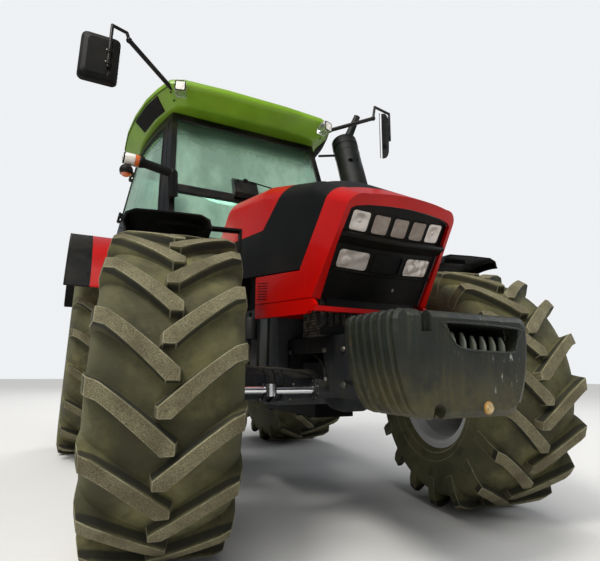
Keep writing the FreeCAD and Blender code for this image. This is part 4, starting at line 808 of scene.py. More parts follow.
def make_stage(setup):
    floor = Finish("floor_plain")
    speck = floor.noise(1.2, 4.0)
    pale = setup.floor_colour[:]
    floor.set(Base_Color=floor.mix(speck, pale, tuple(c * 0.97 for c in pale)), Roughness=0.9)
    mesh = bpy.data.meshes.new("floor")
    reach = setup.floor_size / 2
    corners = [(-reach, -reach, 0), (reach, -reach, 0), (reach, reach, 0), (-reach, reach, 0)]
    mesh.from_pydata(corners, [], [(0, 1, 2, 3)])
    mesh.materials.append(floor.material)
    ground = show("floor", mesh)
    pale_world(setup.sky_strength)
    for name, kind, place, aim, size, share, colour in LAMPS:
        lamp(name, kind, place, aim, size, setup.key_power * share, colour)
    make_camera()
    bpy.context.scene.view_settings.view_transform = "Standard"


# Nose, hood and ballast
F = -1.4925
R = 1.2525
NOSE_TOP = Vector((0, F - 0.645, 1.470))
NOSE_FOOT = Vector((0, F - 0.370, 1.065))
NOSE_DOWN = (NOSE_FOOT - NOSE_TOP).normalized()
NOSE_OUT = Vector((0, NOSE_DOWN.z, -NOSE_DOWN.y))
NOSE_BEND = 1.6
LENS_BACK = -0.0317
LENS_FACE = -0.0202
LENS_EDGE = 0.0022
LAMP_INSET = 0.0015
POCKET_BACK = -0.0318
RIM_FACE = -0.0215
PROJECTOR = (-0.034, 0.008, 0.027)
CELL_PITCH = 0.107
HEADLAMP_AT = 0.186
SEAL_HALF = 0.2965
SKIRT_DOWN = 0.470
# half width, top and bottom down the face, corner radius
CELL = (0.044, 0.034, 0.128, 0.014)
HEADLAMP = (0.078, 0.224, 0.314, 0.016)
MESH_POCKET = (0.0795, 0.2245, 0.3135, 0.012)


def on_nose(x, s, n):
    """A point across, down and out from the curved nose face."""
    out = math.sqrt((NOSE_BEND + n) ** 2 - x * x) - NOSE_BEND
    return NOSE_TOP + Vector((x, 0, 0)) + NOSE_DOWN * s + NOSE_OUT * out


def nose_patch(stock, centre, shape, rise, mark=0, inset=0.0, count=14):
    """A grid inside a rounded rectangle; rise gives its height at places across and down from its middle."""
    half, top, bottom, radius = shape
    half, tall, radius = half - inset, (bottom - top) / 2 - inset, max(0.002, radius - inset)
    middle_s = (top + bottom) / 2
    points, faces = [], []
    for i in range(count + 1):
        v = math.sin(math.pi / 2 * (2 * i / count - 1)) * tall
        corner = max(0.0, abs(v) - (tall - radius))
        reach = half - radius + math.sqrt(max(0.0, radius ** 2 - corner ** 2))
        for j in range(count + 1):
            u = (2 * j / count - 1) * reach
            points.append(on_nose(centre + u, middle_s + v, rise(u, v)))
    wide = count + 1
    for i in range(count):
        for j in range(count):
            a = i * wide + j
            faces.append((a, a + 1, a + wide + 1, a + wide))
    stock.add(points, faces, mark)


def nose_rim(stock, centre, shape, layers, mark=0):
    """A skirt round a rounded rectangle; each layer is an inset and a height."""
    half, top, bottom, radius = shape
    rings = []
    for inset, height in layers:
        outline = round_box(centre - half + inset, centre + half - inset, top + inset, bottom - inset,
                            max(0.002, radius - inset))
        rings.append([on_nose(x, s, height) for x, s in outline])
    stock.skin(rings, mark, caps=False)


def clear_lens(stock, centre, shape):
    """A domed cover with a rounded edge over a lamp."""
    nose_rim(stock, centre, shape, ((0.0, LENS_BACK), (0.0, LENS_FACE - LENS_EDGE),
                                    (LENS_EDGE * 0.4, LENS_FACE - 0.0006), (LENS_EDGE, LENS_FACE)))
    nose_patch(stock, centre, shape, lambda u, v: LENS_FACE, inset=LENS_EDGE)


def bowl_height(u, v):
    """A round reflector with a bulb in its middle."""
    away = math.hypot(u, v)
    bulb = 0.006 * max(0.0, 1 - (away / 0.010) ** 2)
    return LENS_BACK + 0.001 + 0.0075 * min(1.0, (away / 0.036) ** 2) + bulb


def headlamp_height(u, v):
    """A reflector with a round projector at one end and slanted facets beside it."""
    across, down, radius = PROJECTOR
    away = math.hypot(u - across, v - down)
    if away < radius:
        return LENS_BACK + 0.003 + 0.007 * math.sqrt(max(0.0, 1 - (away / radius) ** 2))
    facet = abs(((u * 0.45 + v) / 0.055) % 1.0 - 0.5)
    return LENS_BACK + 0.0014 + 0.0052 * facet + 0.0012 * math.cos(u * 150.0)


def mesh_height(u, v):
    """Mesh that bulges a little toward the middle of its cell."""
    return LENS_FACE + 0.004 * (1 - (u / CELL[0]) ** 2) - 0.001


def nose_lights():
    """Lenses over reflectors at the outer cells and headlamps, and fine mesh in the three middle cells."""
    stock = Stock()
    for i in range(5):
        centre = (i - 2) * CELL_PITCH
        if i in (0, 4):
            nose_patch(stock, centre, CELL, bowl_height, 1, inset=LAMP_INSET, count=28)
            clear_lens(stock, centre, CELL)
        else:
            nose_rim(stock, centre, CELL, ((0.0, LENS_BACK), (0.0, LENS_FACE - 0.004), (0.003, LENS_FACE)), 3)
            nose_patch(stock, centre, CELL, mesh_height, 2, inset=0.003)
    for side in (1, -1):
        centre = side * HEADLAMP_AT
        nose_patch(stock, centre, HEADLAMP, headlamp_height, 1, inset=LAMP_INSET, count=44)
        nose_rim(stock, centre, HEADLAMP, ((0.0012, LENS_BACK), (0.0012, LENS_FACE - 0.003)), 1)
        clear_lens(stock, centre, HEADLAMP)
        across, down = centre + PROJECTOR[0], (HEADLAMP[1] + HEADLAMP[2]) / 2 + PROJECTOR[1]
        for radius in (PROJECTOR[2] + 0.002, PROJECTOR[2] + 0.005):
            ring = [on_nose(across + u, down + v, LENS_BACK + 0.010) for u, v in ring_of(28, radius)]
            stock.loop(ring, 0.0012, 8, 1)
    stock.piece("nose_lights", "lamp_glass reflector cell_mesh black_plastic", "nose_lamps",
                replaces=("nose_lamps",), smooth=32)


def nose_trim():
    """Mesh in the middle pocket, rims round the openings, fasteners, the skirt at the foot and the seal."""
    stock = Stock()
    nose_patch(stock, 0.0, MESH_POCKET, lambda u, v: POCKET_BACK + 0.0006, 1)
    for k in range(-5, 6):
        stock.pipe([on_nose(k * 0.0145, s, POCKET_BACK + 0.003) for s in (0.228, 0.310)], 0.0013, 6)
    top, bottom = MESH_POCKET[1:3]
    for k in range(1, 6):
        s = top + (bottom - top) * k / 6
        stock.pipe([on_nose(x * 0.0155, s, POCKET_BACK + 0.0045) for x in range(-5, 6)], 0.0015, 6)
    shapes = [((i - 2) * CELL_PITCH, CELL) for i in range(5)]
    shapes += [(HEADLAMP_AT, HEADLAMP), (-HEADLAMP_AT, HEADLAMP), (0.0, MESH_POCKET)]
    rim = ((0.0, -0.026), (-0.0005, RIM_FACE), (-0.004, RIM_FACE), (-0.0055, -0.0245))
    for centre, shape in shapes:
        nose_rim(stock, centre, shape, rim)
    # fasteners: across, down, finish
    for x, s, mark in ((-0.262, 0.395, 0), (0.262, 0.395, 0), (-0.125, 0.462, 0), (0.125, 0.462, 0),
                       (0.085, 0.398, 2)):
        stock.bolt(on_nose(x, s, -0.0245), NOSE_OUT, 0.0065, 0.004, mark)
    skirt = []
    for k in range(-9, 10):
        x = 0.029 * k
        curve = (on_nose(x, SKIRT_DOWN, 0.0).y - on_nose(0.0, SKIRT_DOWN, 0.0).y) * 0.8
        skirt.append([on_nose(x, SKIRT_DOWN, -0.027), (x, F - 0.362 + curve, 1.050),
                      (x, F - 0.356 + curve, 1.050), on_nose(x, SKIRT_DOWN, -0.033)])
    stock.skin(skirt, 0)
    # columns: share of the half width, distance down the face
    half = [(0.0, -0.020), (0.35, -0.015), (0.68, -0.003), (0.88, 0.012), (0.96, 0.028), (1.0, 0.058),
            (1.0, 0.2), (1.0, 0.34), (1.0, 0.478)]
    line = [(-SEAL_HALF * a, s) for a, s in reversed(half)] + [(SEAL_HALF * a, s) for a, s in half[1:]]
    stock.hose([on_nose(x, s + 0.0035, RIM_FACE) for x, s in line], 0.0028, 8, 3, 4)
    stock.piece("nose_trim", "black_plastic dark_mesh bolt_steel grey_plastic", "nose_panel")


HOOD_SECTIONS = (
    # along, half width at the bottom, half width at the shoulder, shoulder height
    (F - 0.720, 0.318, 0.300, 1.415),
    (F - 0.300, 0.350, 0.333, 1.605),
    (F + 0.200, 0.400, 0.380, 1.740),
    (F + 0.900, 0.450, 0.430, 1.830),
)
HOOD_LOW = 0.900
LOUVRE_BARS = 7


def hood_x(y, z):
    """Half width of the hood's flat side at a place along and a height under its shoulder."""
    for low, high in zip(HOOD_SECTIONS, HOOD_SECTIONS[1:]):
        if y <= high[0]:
            t = (y - low[0]) / (high[0] - low[0])
            bottom, shoulder, shoulder_z = (a + (b - a) * t for a, b in zip(low[1:], high[1:]))
            return bottom + (shoulder - bottom) * (z - HOOD_LOW) / (shoulder_z - HOOD_LOW)
    raise ValueError("the place lies behind the hood")


def hood_fittings():
    """Bars in the side panels' louvres."""
    stock = Stock()
    for side in (1, -1):
        for i in range(LOUVRE_BARS):
            z = 1.136 + 0.015 * i
            ends = [(F + 0.098, z + 0.0025), (F + 0.216, z + 0.0165)]
            stock.pipe([(side * (hood_x(y, up) - 0.0055), y, up) for y, up in ends], 0.0022, 8)
    stock.piece("louvre_bars", "black_plastic", "side_panels")


FINS = 46
TUBES = 12
HEADER = 0.045


def radiator_pack():
    """Fins, tubes, header tanks and hoses behind the grille."""
    stock = Stock()
    low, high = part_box("radiator")
    front = low.y
    wide, tall = high.x - low.x, high.z - low.z
    for k in range(FINS):
        z = low.z + 0.05 + (tall - 0.10) * k / (FINS - 1)
        stock.block((low.x + 0.02, front - 0.004, z - 0.0012), (high.x - 0.02, front + 0.002, z + 0.0012))
    for k in range(TUBES):
        x = low.x + 0.035 + (wide - 0.07) * k / (TUBES - 1)
        stock.pipe([(x, front - 0.006, low.z + HEADER), (x, front - 0.006, high.z - HEADER)], 0.004, 8, 1)
    for z0, z1 in ((low.z, low.z + HEADER), (high.z - HEADER, high.z)):
        outline = round_box(low.x - 0.004, high.x + 0.004, z0, z1, 0.012)
        stock.slab(outline, (front - 0.016, front + 0.002), 1)
    for x in (-0.14, 0.14):
        stops = [(x, low.y + 0.05, high.z - 0.02), (x, low.y + 0.08, high.z + 0.03),
                 (x * 0.9, high.y + 0.04, high.z + 0.02), (x * 0.8, high.y + 0.09, high.z - 0.08)]
        stock.hose(stops, 0.024, 16)
    stock.piece("radiator_pack", "radiator_core black_paint hose_rubber", "radiator")


# outline of the grip's opening: across, height
GRIP = ((-0.106, 0.942), (0.268, 0.934), (0.266, 0.890), (0.252, 0.856), (0.226, 0.840), (0.050, 0.841),
        (-0.050, 0.852), (-0.086, 0.884), (-0.104, 0.916))
BALLAST_FRONT = F - 0.960
PLATE_PITCH = 0.0503
BALLAST_BACK = BALLAST_FRONT + 7 * PLATE_PITCH
GRIP_RIBS = 6
RIB_STEPS = 6


def ballast_fittings():
    """The pale lip round the grip, the ribs seen in it, the bolt with its rust and the cast lifting notch."""
    stock = Stock()
    lip = smooth_line([(x, BALLAST_FRONT + 0.0015, z) for x, z in GRIP], 4, closed=True)
    stock.loop(lip, 0.0045, 10)
    notch = [(-0.228, 0.970), (-0.228, 0.903), (-0.181, 0.903), (-0.181, 0.970)]
    stock.pipe([(x, BALLAST_FRONT + 0.004, z) for x, z in notch], 0.003, 8)
    for i in range(GRIP_RIBS):
        x = -0.050 + 0.052 * i
        foot = 0.836 + (0.010 if x < 0.04 else 0.0)
        rings = []
        for k in range(RIB_STEPS + 1):
            t = k / RIB_STEPS
            y = BALLAST_FRONT + 0.024 + 0.050 * t
            across, tall = x + 0.030 * t * t, foot + 0.066 * math.sin(math.pi * (0.16 + 0.62 * t))
            thick = 0.007 + 0.005 * math.sin(math.pi * t)
            thin = thick * 0.7
            rings.append([(across - thick, y, foot), (across + thick, y, foot),
                          (across + thin, y, tall), (across - thin, y, tall)])
        # the ribs take a pale cast finish: painted light, as they sit in the grip's shadowed opening
        stock.skin(rings, 3)
    centre = Vector((0.075, BALLAST_FRONT, 0.636))
    rust_ring = [(-0.004, 0.0), (-0.004, 0.024), (0.001, 0.024), (0.003, 0.021), (0.0035, 0.014)]
    stock.turned(centre, (0, -1, 0), rust_ring, 32, 1)
    stock.bolt(centre - Vector((0, 0.002, 0)), (0, -1, 0), 0.014, 0.011, 2)
    for x in (-0.150, 0.150):
        stock.rod((x, BALLAST_BACK - 0.01, 0.90), (x, BALLAST_BACK + 0.02, 0.90), 0.016, 12, 2)
    stock.piece("ballast_fittings", "cast_weight rust rusty_steel worn_cast", "ballast_plates", smooth=40)


# Cab
ROOF_BOTTOM = 3.010
CAB_TUMBLE = 0.158
CAB_WAIST = 2.200
CAB_HALF = 0.980
CAB_BEND = 4.200
CAB_REAR = R + 0.400
SCREEN_SLOPE = 0.375
PILLAR_TOP_Y = F + 1.680
GASKET_IN = 0.048
DECK = 1.285
MIRROR_REACH = 1.4875


def side_x(y, z):
    """Half width of the cab's outer side at a place along and a height."""
    return CAB_HALF - CAB_TUMBLE * (z - CAB_WAIST) - CAB_BEND + math.sqrt(CAB_BEND ** 2 - (y - R) ** 2)


def screen_y(z):
    return PILLAR_TOP_Y - SCREEN_SLOPE * (ROOF_BOTTOM - z)


def on_side(y, z, out=0.0, side=1):
    return Vector((side * (side_x(y, z) + out), y, z))


def on_screen(x, z, out=0.0):
    """A point before the windscreen's plane."""
    return Vector((x, screen_y(z) - out, z))


def gaskets():
    """Rubber round the windscreen, the lower screen and the rear pane."""
    stock = Stock()

    def corners(low, high, along):
        return [Vector((x * (side_x(along(z), z) - GASKET_IN), along(z), z))
                for x, z in ((-1, low), (1, low), (1, high), (-1, high))]

    for low, high in ((1.755, 2.145), (2.220, 2.945)):
        edge = [p - Vector((0, 0.014, 0)) for p in corners(low, high, screen_y)]
        stock.frame_round(edge, 0.009, 10)
    edge = [p - Vector((0, 0.012, 0)) for p in corners(2.036, 2.934, lambda z: CAB_REAR)]
    stock.frame_round(edge, 0.008, 8)
    stock.piece("gaskets", "hose_rubber", "cab_frame", smooth=50)


def wiper():
    """Wiper arm, blade and its spindle on the motor housing."""
    stock = Stock()
    pivot = on_screen(-0.10, 2.360, 0.086)
    tip = on_screen(0.42, 2.300, 0.032)
    stock.hose([pivot, (pivot + tip) / 2 + Vector((0, -0.010, 0.006)), tip], 0.006, 8, 0)
    stock.knob(pivot + Vector((0, 0.012, 0)), (0, -0.312, -0.12),
               [(0, 0.022), (0.016, 0.020), (0.022, 0.010), (0.022, 0)], 20)
    left, right = on_screen(0.14, 2.262, 0.020), on_screen(0.70, 2.300, 0.020)
    stock.pipe([left, (left + right) / 2, right], 0.007, 8)
    stock.pipe([left + Vector((0.1, -0.012, 0.010)), tip, right + Vector((-0.1, -0.012, 0.004))], 0.004, 8)
    for x in (-0.17, -0.03):
        stock.bolt(on_screen(x, 2.345, 0.088), (0, -1, -0.3), 0.007, 0.005)
    stock.piece("wiper", "black_plastic", "cab_frame", smooth=40)


def door_trim(side, tag):
    """Seal, lock and handle roses of one door."""
    stock = Stock()
    low, high, outward = 1.430, 2.880, (side, 0, 0)
    front = [on_side(screen_y(z) + 0.118, z, 0.001, side) for z in (low, 1.8, 2.2, 2.6, high)]
    top = [on_side(y, high, 0.001, side) for y in (screen_y(high) + 0.3, R - 0.5, R - 0.09)]
    stock.pipe(front + top, 0.006, 8)
    rose = [(0, 0.021), (0.006, 0.019), (0.010, 0.012), (0.010, 0)]
    for z in (1.785, 1.955):
        stock.knob(on_side(screen_y(z) + 0.075, z, 0.0, side), outward, rose, 20)
    lock = on_side(screen_y(1.87) + 0.072, 1.87, 0.0, side) + Vector((side * 0.001, 0.012, -0.005))
    stock.knob(lock, outward, [(0, 0.015), (0.008, 0.013), (0.009, 0.009), (0.006, 0.008), (0.006, 0)], 24, 1)
    stock.piece("trim_door_" + tag, "black_plastic bolt_steel", "door_" + tag, smooth=40)


# half width, place along
ROOF_HALF = ((0.300, F + 1.345), (0.690, F + 1.372), (0.800, F + 1.430), (0.870, F + 1.610),
             (0.931, F + 1.825), (0.983, F + 2.167), (1.005, F + 2.515), (0.995, CAB_REAR - 0.240),
             (0.880, CAB_REAR + 0.030))


def roof_edge(share):
    """Points round one side of the roof on its slanted lower band; share runs from its foot to its edge."""
    inset = 0.130 - 0.122 * share
    z = ROOF_BOTTOM + 0.110 * share
    front, back = ROOF_HALF[0][1], ROOF_HALF[-1][1]
    centre, widest = (front + back) / 2, ROOF_HALF[6][0]
    wide = (widest - inset) / widest
    long = (back - front - 2 * inset) / (back - front)
    return [Vector((x * wide, centre + (y - centre) * long, z)) for x, y in ROOF_HALF]


def roof_trim():
    """Vent panels with slats under the roof's sides, the front fascia's seam and screws."""
    stock = Stock()
    vent = list(zip(roof_edge(0.10)[3:6], roof_edge(0.92)[3:6]))
    box = [(0, 1, 2, 3), (7, 6, 5, 4), (0, 4, 5, 1), (1, 5, 6, 2), (2, 6, 7, 3), (3, 7, 4, 0)]
    for side in (1, -1):
        def placed(p, out=0.0):
            return Vector((side * (p.x + out), p.y, p.z - out * 0.8))
        for (low_a, high_a), (low_b, high_b) in zip(vent, vent[1:]):
            corners = (low_a, low_b, high_b, high_a)
            stock.add([placed(p, out) for out in (0.004, -0.006) for p in corners], box)
        for k in range(1, 9):
            stock.pipe([placed(a + (b - a) * k / 9, 0.007) for a, b in vent], 0.003, 6)
        stock.pipe([placed(p) for p in roof_edge(1.0)[2:]], 0.0035, 8)
        for share in (0.3, 0.7):
            stock.bolt(placed(roof_edge(share)[2], 0.002), (side * 0.6, -0.4, -0.7), 0.007, 0.004)
    stock.piece("roof_trim", "black_plastic", "cab_roof", smooth=40)


def screen_top():
    """The sun visor and the head lining behind the top of the windscreen."""
    stock = Stock()
    visor = ((2.800, 0.045), (2.985, 0.075))
    lining = 2.962
    front = screen_y(2.96)
    reach = side_x(screen_y(visor[0][0]), visor[0][0]) - 0.075
    rings = []
    for z, back in visor:
        y = screen_y(z) + back
        rings.append([(-reach, y, z), (reach, y, z), (reach, y + 0.012, z), (-reach, y + 0.012, z)])
    stock.skin(rings)
    stock.block((-0.72, front + 0.12, lining), (0.72, CAB_REAR - 0.10, 2.985))
    for x in (-0.45, 0.45):
        stock.knob((x, front + 0.32, lining), (0, 0, -1), [(0, 0.045), (0.010, 0.040), (0.012, 0.0)], 24, 1)
    stock.piece("head_lining", "grey_plastic black_plastic", "cab_frame", bevel=0.004, smooth=40)


COLUMN_TILT = math.radians(24.8)
LEVER_FOOT = DECK + 0.635


def driver_place():
    """Dashboard with dials, the steering wheel's hub, levers, monitor, pedals and the seat's side tubes."""
    stock = Stock()
    # the dashboard's section: place along, height
    dash = [(R - 1.62, 1.30), (R - 1.46, 1.30), (R - 1.36, 1.72), (R - 1.26, 1.90), (R - 1.34, 1.985),
            (R - 1.50, 1.95), (R - 1.56, 1.72)]
    cy, cz = R - 1.44, 1.64
    ends = ((-0.20, 0.93), (-0.17, 1.0), (0.17, 1.0), (0.20, 0.93))
    stock.skin([[(x, cy + (y - cy) * tight, cz + (z - cz) * tight) for y, z in dash] for x, tight in ends])
    up = Vector((0, math.sin(COLUMN_TILT), math.cos(COLUMN_TILT)))
    hub = Vector((0, R - 1.120, DECK + 0.640)) + up * 0.030
    stock.knob(hub, up, [(0, 0.055), (0.012, 0.050), (0.020, 0.030), (0.021, 0)], 32, 1)
    dial = [(0, 0.040), (0.010, 0.038), (0.008, 0.032), (0.004, 0.031), (0.004, 0)]
    for x in (-0.11, 0.0, 0.11):
        stock.knob((x, R - 1.372, 1.905), (0, 0.9, 0.45), dial, 28, 1)
    grip = [(0, 0.006), (0.006, 0.013), (0.026, 0.015), (0.036, 0.010), (0.038, 0)]
    # columns: across, place along, height of the lever
    for x, y, tall in ((-0.42, R - 0.62, 0.11), (-0.36, R - 0.56, 0.09), (-0.46, R - 0.50, 0.10),
                       (-0.40, R - 0.42, 0.08)):
        foot = Vector((x, y, LEVER_FOOT))
        bend, top = foot + Vector((0, -0.010, tall * 0.6)), foot + Vector((0, -0.02, tall))
        stock.pipe([foot, bend, top], 0.006, 10, 2)
        stock.turned(foot + Vector((0, -0.02, tall - 0.006)), (0, -0.01, 0.206), grip, 16, 3)
    stock.block((-0.56, R - 0.80, 2.02), (-0.28, R - 0.77, 2.22), 1)
    stock.pipe([(-0.42, R - 0.78, 2.02), (-0.42, R - 0.74, 1.96), (-0.42, R - 0.70, 1.915)], 0.012, 12)
    for x in (-0.14, 0.10, 0.19):
        stock.pipe([(x, R - 1.43, 1.42), (x, R - 1.30, 1.36), (x, R - 1.26, 1.34)], 0.008, 10, 2)
        stock.block((x - 0.032, R - 1.28, 1.325), (x + 0.032, R - 1.262, 1.405), 1)
    for x in (-0.27, 0.27):
        stock.pipe([(x, R + 0.05, DECK + 0.34), (x, R + 0.02, DECK + 0.62), (x, R - 0.02, DECK + 0.66)],
                   0.014, 12, 2)
    stock.piece("driver_place", "grey_plastic black_plastic bolt_steel lever_knob", "console", bevel=0.004)


CUSHION_GRAIN = 0.014
CUSHION_STEPS = 20
CUSHION_SWELL = 0.018
SEAT_Z = DECK + 0.360
BACK_LEAN = math.atan2(0.130, 0.610)


def cushion(name, low, high, place):
    """A stuffed cushion: a rounded cage, remeshed, then blown up by a cloth simulation."""
    work = bmesh.new()
    bmesh.ops.create_cube(work, size=1.0)
    size = Vector(high) - Vector(low)
    centre = (Vector(high) + Vector(low)) / 2
    for v in work.verts:
        v.co = v.co * size + centre
    rounding = min(size) * 0.30
    bmesh.ops.bevel(work, geom=work.edges[:], offset=rounding, segments=3, profile=0.6, affect="EDGES")
    mesh = bpy.data.meshes.new(name)
    work.to_mesh(mesh)
    work.free()
    made = show(name, mesh)
    made.matrix_world = place
    grain = made.modifiers.new("Grain", "REMESH")
    grain.mode = "VOXEL"
    grain.voxel_size = CUSHION_GRAIN
    bake(made)
    blow_up(made)
    return made


def bake(made):
    """Puts the result of an object's modifiers into its own mesh."""
    seen = bpy.context.evaluated_depsgraph_get()
    seen.update()
    fresh = bpy.data.meshes.new_from_object(made.evaluated_get(seen))
    old = made.data
    made.modifiers.clear()
    made.data = fresh
    bpy.data.meshes.remove(old)


def blow_up(made):
    """Air pressure from inside, as in a stuffed cover, with its movement kept small."""
    rest = [v.co.copy() for v in made.data.vertices]
    cloth = made.modifiers.new("Stuffing", "CLOTH")
    settings = {"quality": 5, "mass": 0.3, "tension_stiffness": 25, "compression_stiffness": 25,
                "bending_stiffness": 1.5, "use_pressure": True, "uniform_pressure_force": 4.0}
    for key, value in settings.items():
        setattr(cloth.settings, key, value)
    cloth.settings.effector_weights.gravity = 0.0
    cloth.point_cache.frame_start = 1
    cloth.point_cache.frame_end = CUSHION_STEPS
    for step in range(CUSHION_STEPS):
        bpy.context.scene.frame_set(step + 1)
    bake(made)
    bpy.context.scene.frame_set(1)
    for v, start in zip(made.data.vertices, rest):
        shift = v.co - start
        if shift.length > CUSHION_SWELL:
            v.co = start + shift.normalized() * CUSHION_SWELL


def seat_cushions():
    """The seat's stuffed base and back, with piping on the base."""
    foot = Matrix.Translation((0, R + 0.085, SEAT_Z + 0.115)) @ Matrix.Rotation(-BACK_LEAN, 4, "X")
    base = ((-0.232, R - 0.455, SEAT_Z + 0.012), (0.232, R + 0.025, SEAT_Z + 0.100))
    back = ((-0.222, -0.045, 0.012), (0.222, 0.045, 0.600))
    for name, box, place in (("seat_base_pad", base, Matrix()), ("seat_back_pad", back, foot)):
        pad = cushion(name, *box, place)
        pad.data.materials.append(FINISHES["seat_fabric"])
        smooth = pad.modifiers.new("Smooth", "SUBSURF")
        smooth.levels = smooth.render_levels = 1
        shade_smooth(pad, 80)
        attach(pad, BODY_OF["seat"])
        if name == "seat_base_pad":
            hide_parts("seat")
    stock = Stock()
    z = SEAT_Z + 0.106
    for x in (-0.15, 0.15):
        stock.hose([(x, R - 0.44, z - 0.012), (x, R - 0.30, z + 0.004), (x, R - 0.10, z + 0.004),
                    (x, R + 0.015, z - 0.008)], 0.004, 8, 0, 4)
    seam = [(-0.23, R - 0.40, SEAT_Z + 0.05), (-0.23, R - 0.2, SEAT_Z + 0.052), (-0.23, R, SEAT_Z + 0.05)]
    stock.hose(seam, 0.004, 8, 0, 3)
    stock.piece("seat_piping", "grey_plastic", "seat", smooth=60)


# half width, half height, half depth
MIRROR = (0.1425, 0.200, 0.035)


def mirror_details():
    """Glass at each mirror's rear face, its rim, and the sleeves and screws that clamp it to its arm."""
    stock = Stock()
    glass = Stock()
    half, tall, depth = MIRROR
    # columns: side, place along, height above the roof's edge, turn in degrees
    for side, head_y, head_up, tilt in ((1, F + 1.323, 0.138, 53.0), (-1, F + 1.250, 0.065, 0.0)):
        turn = math.radians(tilt)
        head = (side * (MIRROR_REACH - mirror_half(half, depth, turn)), head_y, ROOF_BOTTOM + head_up)
        place = Matrix.Translation(head) @ Matrix.Rotation(side * turn, 4, "Z")

        def outline(spread, radius):
            return round_box(-half + spread, half - spread, -tall + spread, tall - spread, radius, 6)

        glass.slab(outline(0.012, 0.034), (depth - 0.004, depth + 0.0012), 0, place)
        for spread in (0.012, 0.004):
            stock.loop([place @ Vector((x, depth + 0.0005, z)) for x, z in outline(spread, 0.040)], 0.0035, 8)
        for z in (-0.05, 0.05):
            at = Vector((-side * half * 0.44, -depth - 0.009, z))
            stock.lathe([(-0.016, 0.0), (-0.016, 0.019), (0.016, 0.019), (0.016, 0.0)], 20, 0,
                        place @ frame_along(at, at + Vector((0, 0, 1))))
            stock.bolt(place @ (at + Vector((side * 0.018, -0.012, 0))), place.to_3x3() @ Vector((0, -1, 0)),
                       0.005, 0.004, 1)
    stock.piece("mirror_fittings", "black_plastic bolt_steel", "mirror_heads", smooth=45)
    glass.piece("mirror_glass", "mirror_glass", "mirror_heads", smooth=45)


def mirror_half(half, depth, turn):
    """Half width of a turned mirror with rounded corners, as its outermost corner gives it."""
    corners = ((half, depth), (half - 0.004, -0.004), (half - 0.022, -depth + 0.012))
    return max(x * math.cos(turn) + abs(y * math.sin(turn)) for x, y in corners)


# Chassis, axle, cab outside and rear linkage
LINK_Y, LINK_Z = R + 0.150, 0.480
LINK_REACH = 1.009
LINK_REST = math.radians(5.0)
SHAFT_Y, SHAFT_Z = R + 0.400, 1.050
STEER_Y, STEER_Z = F - 0.160, 0.672
KINGPIN_X = 0.817
AXLE_Z = 0.693
FRAME_SIDE = 0.1902
BLOCK_SIDE = 0.2605
GEAR_SIDE = 0.2305
SHEET = 0.012
REAR_WHEEL_Z = 0.925
UP = (0, 0, 1)


def axle_fittings():
    """Cover bolts, glands, unions with their hoses, plugs and studs on the front axle."""
    stock = Stock()
    for side in (1, -1):
        outward = (side, 0, 0)
        for y, z in ring_of(8, 0.043, 22):
            stock.bolt((side * 0.222, STEER_Y + y, STEER_Z + z), outward, 0.005, 0.006, 1)
        gland = [(0, 0.021), (0, 0.036), (0.007, 0.034), (0.009, 0.022)]
        stock.turned((side * 0.225, STEER_Y, STEER_Z), outward, gland, 28)
        port = Vector((side * 0.165, STEER_Y - 0.006, STEER_Z + 0.040))
        stock.rod(port, port + Vector((0, 0, 0.018)), 0.012, 6, 1)
        stock.hose([port + Vector((0, 0, 0.012)), port + Vector((0, 0.010, 0.055)),
                    (side * 0.150, F - 0.105, 0.800), (side * 0.145, F - 0.02, 0.845),
                    (side * 0.165, F + 0.05, 0.872)], 0.009)
        for x in (0.30, 0.46):
            for y, z in ring_of(6, 0.082):
                stock.bolt((side * x, F + y, AXLE_Z + z), outward, 0.006, 0.007, 1)
        plug = Vector((side * 0.28, F - 0.076, AXLE_Z - 0.02))
        stock.rod(plug, plug + Vector((0, -0.020, 0)), 0.010, 6, 1)
        stock.hose([(side * 0.20, F - 0.078, 0.735), (side * 0.34, F - 0.090, 0.765),
                    (side * 0.52, F - 0.075, 0.775), (side * 0.60, F - 0.055, 0.790)], 0.007, 10)
    for x in (-0.085, 0.085):
        for z in (0.655, 0.690):
            stock.bolt((x, STEER_Y - 0.001, z), (0, -1, 0), 0.007, 0.045, 1)
    stock.piece("axle_fittings", "cast_black bolt_steel hose_rubber", "front_axle", smooth=40)


def knuckle_fittings(side, tag):
    """Kingpin covers with bolts and a grease nipple."""
    stock = Stock()
    node = "knuckle_" + tag
    low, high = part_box(node)
    top = Vector((side * KINGPIN_X, F, high.z))
    for x, y in ring_of(6, 0.046):
        stock.bolt(top + Vector((x, y, 0)), UP, 0.0065, 0.007, 1)
    stock.knob(top, UP, [(0, 0.030), (0.010, 0.026), (0.014, 0.0)], 28)
    stock.rod(top + Vector((0, 0, 0.010)), top + Vector((0, 0, 0.030)), 0.004, 8, 1)
    stock.knob((top.x, F, low.z), UP, [(0, 0.026), (-0.006, 0.022), (-0.008, 0.0)])
    stock.piece("fittings_" + node, "cast_black bolt_steel", node, smooth=40)


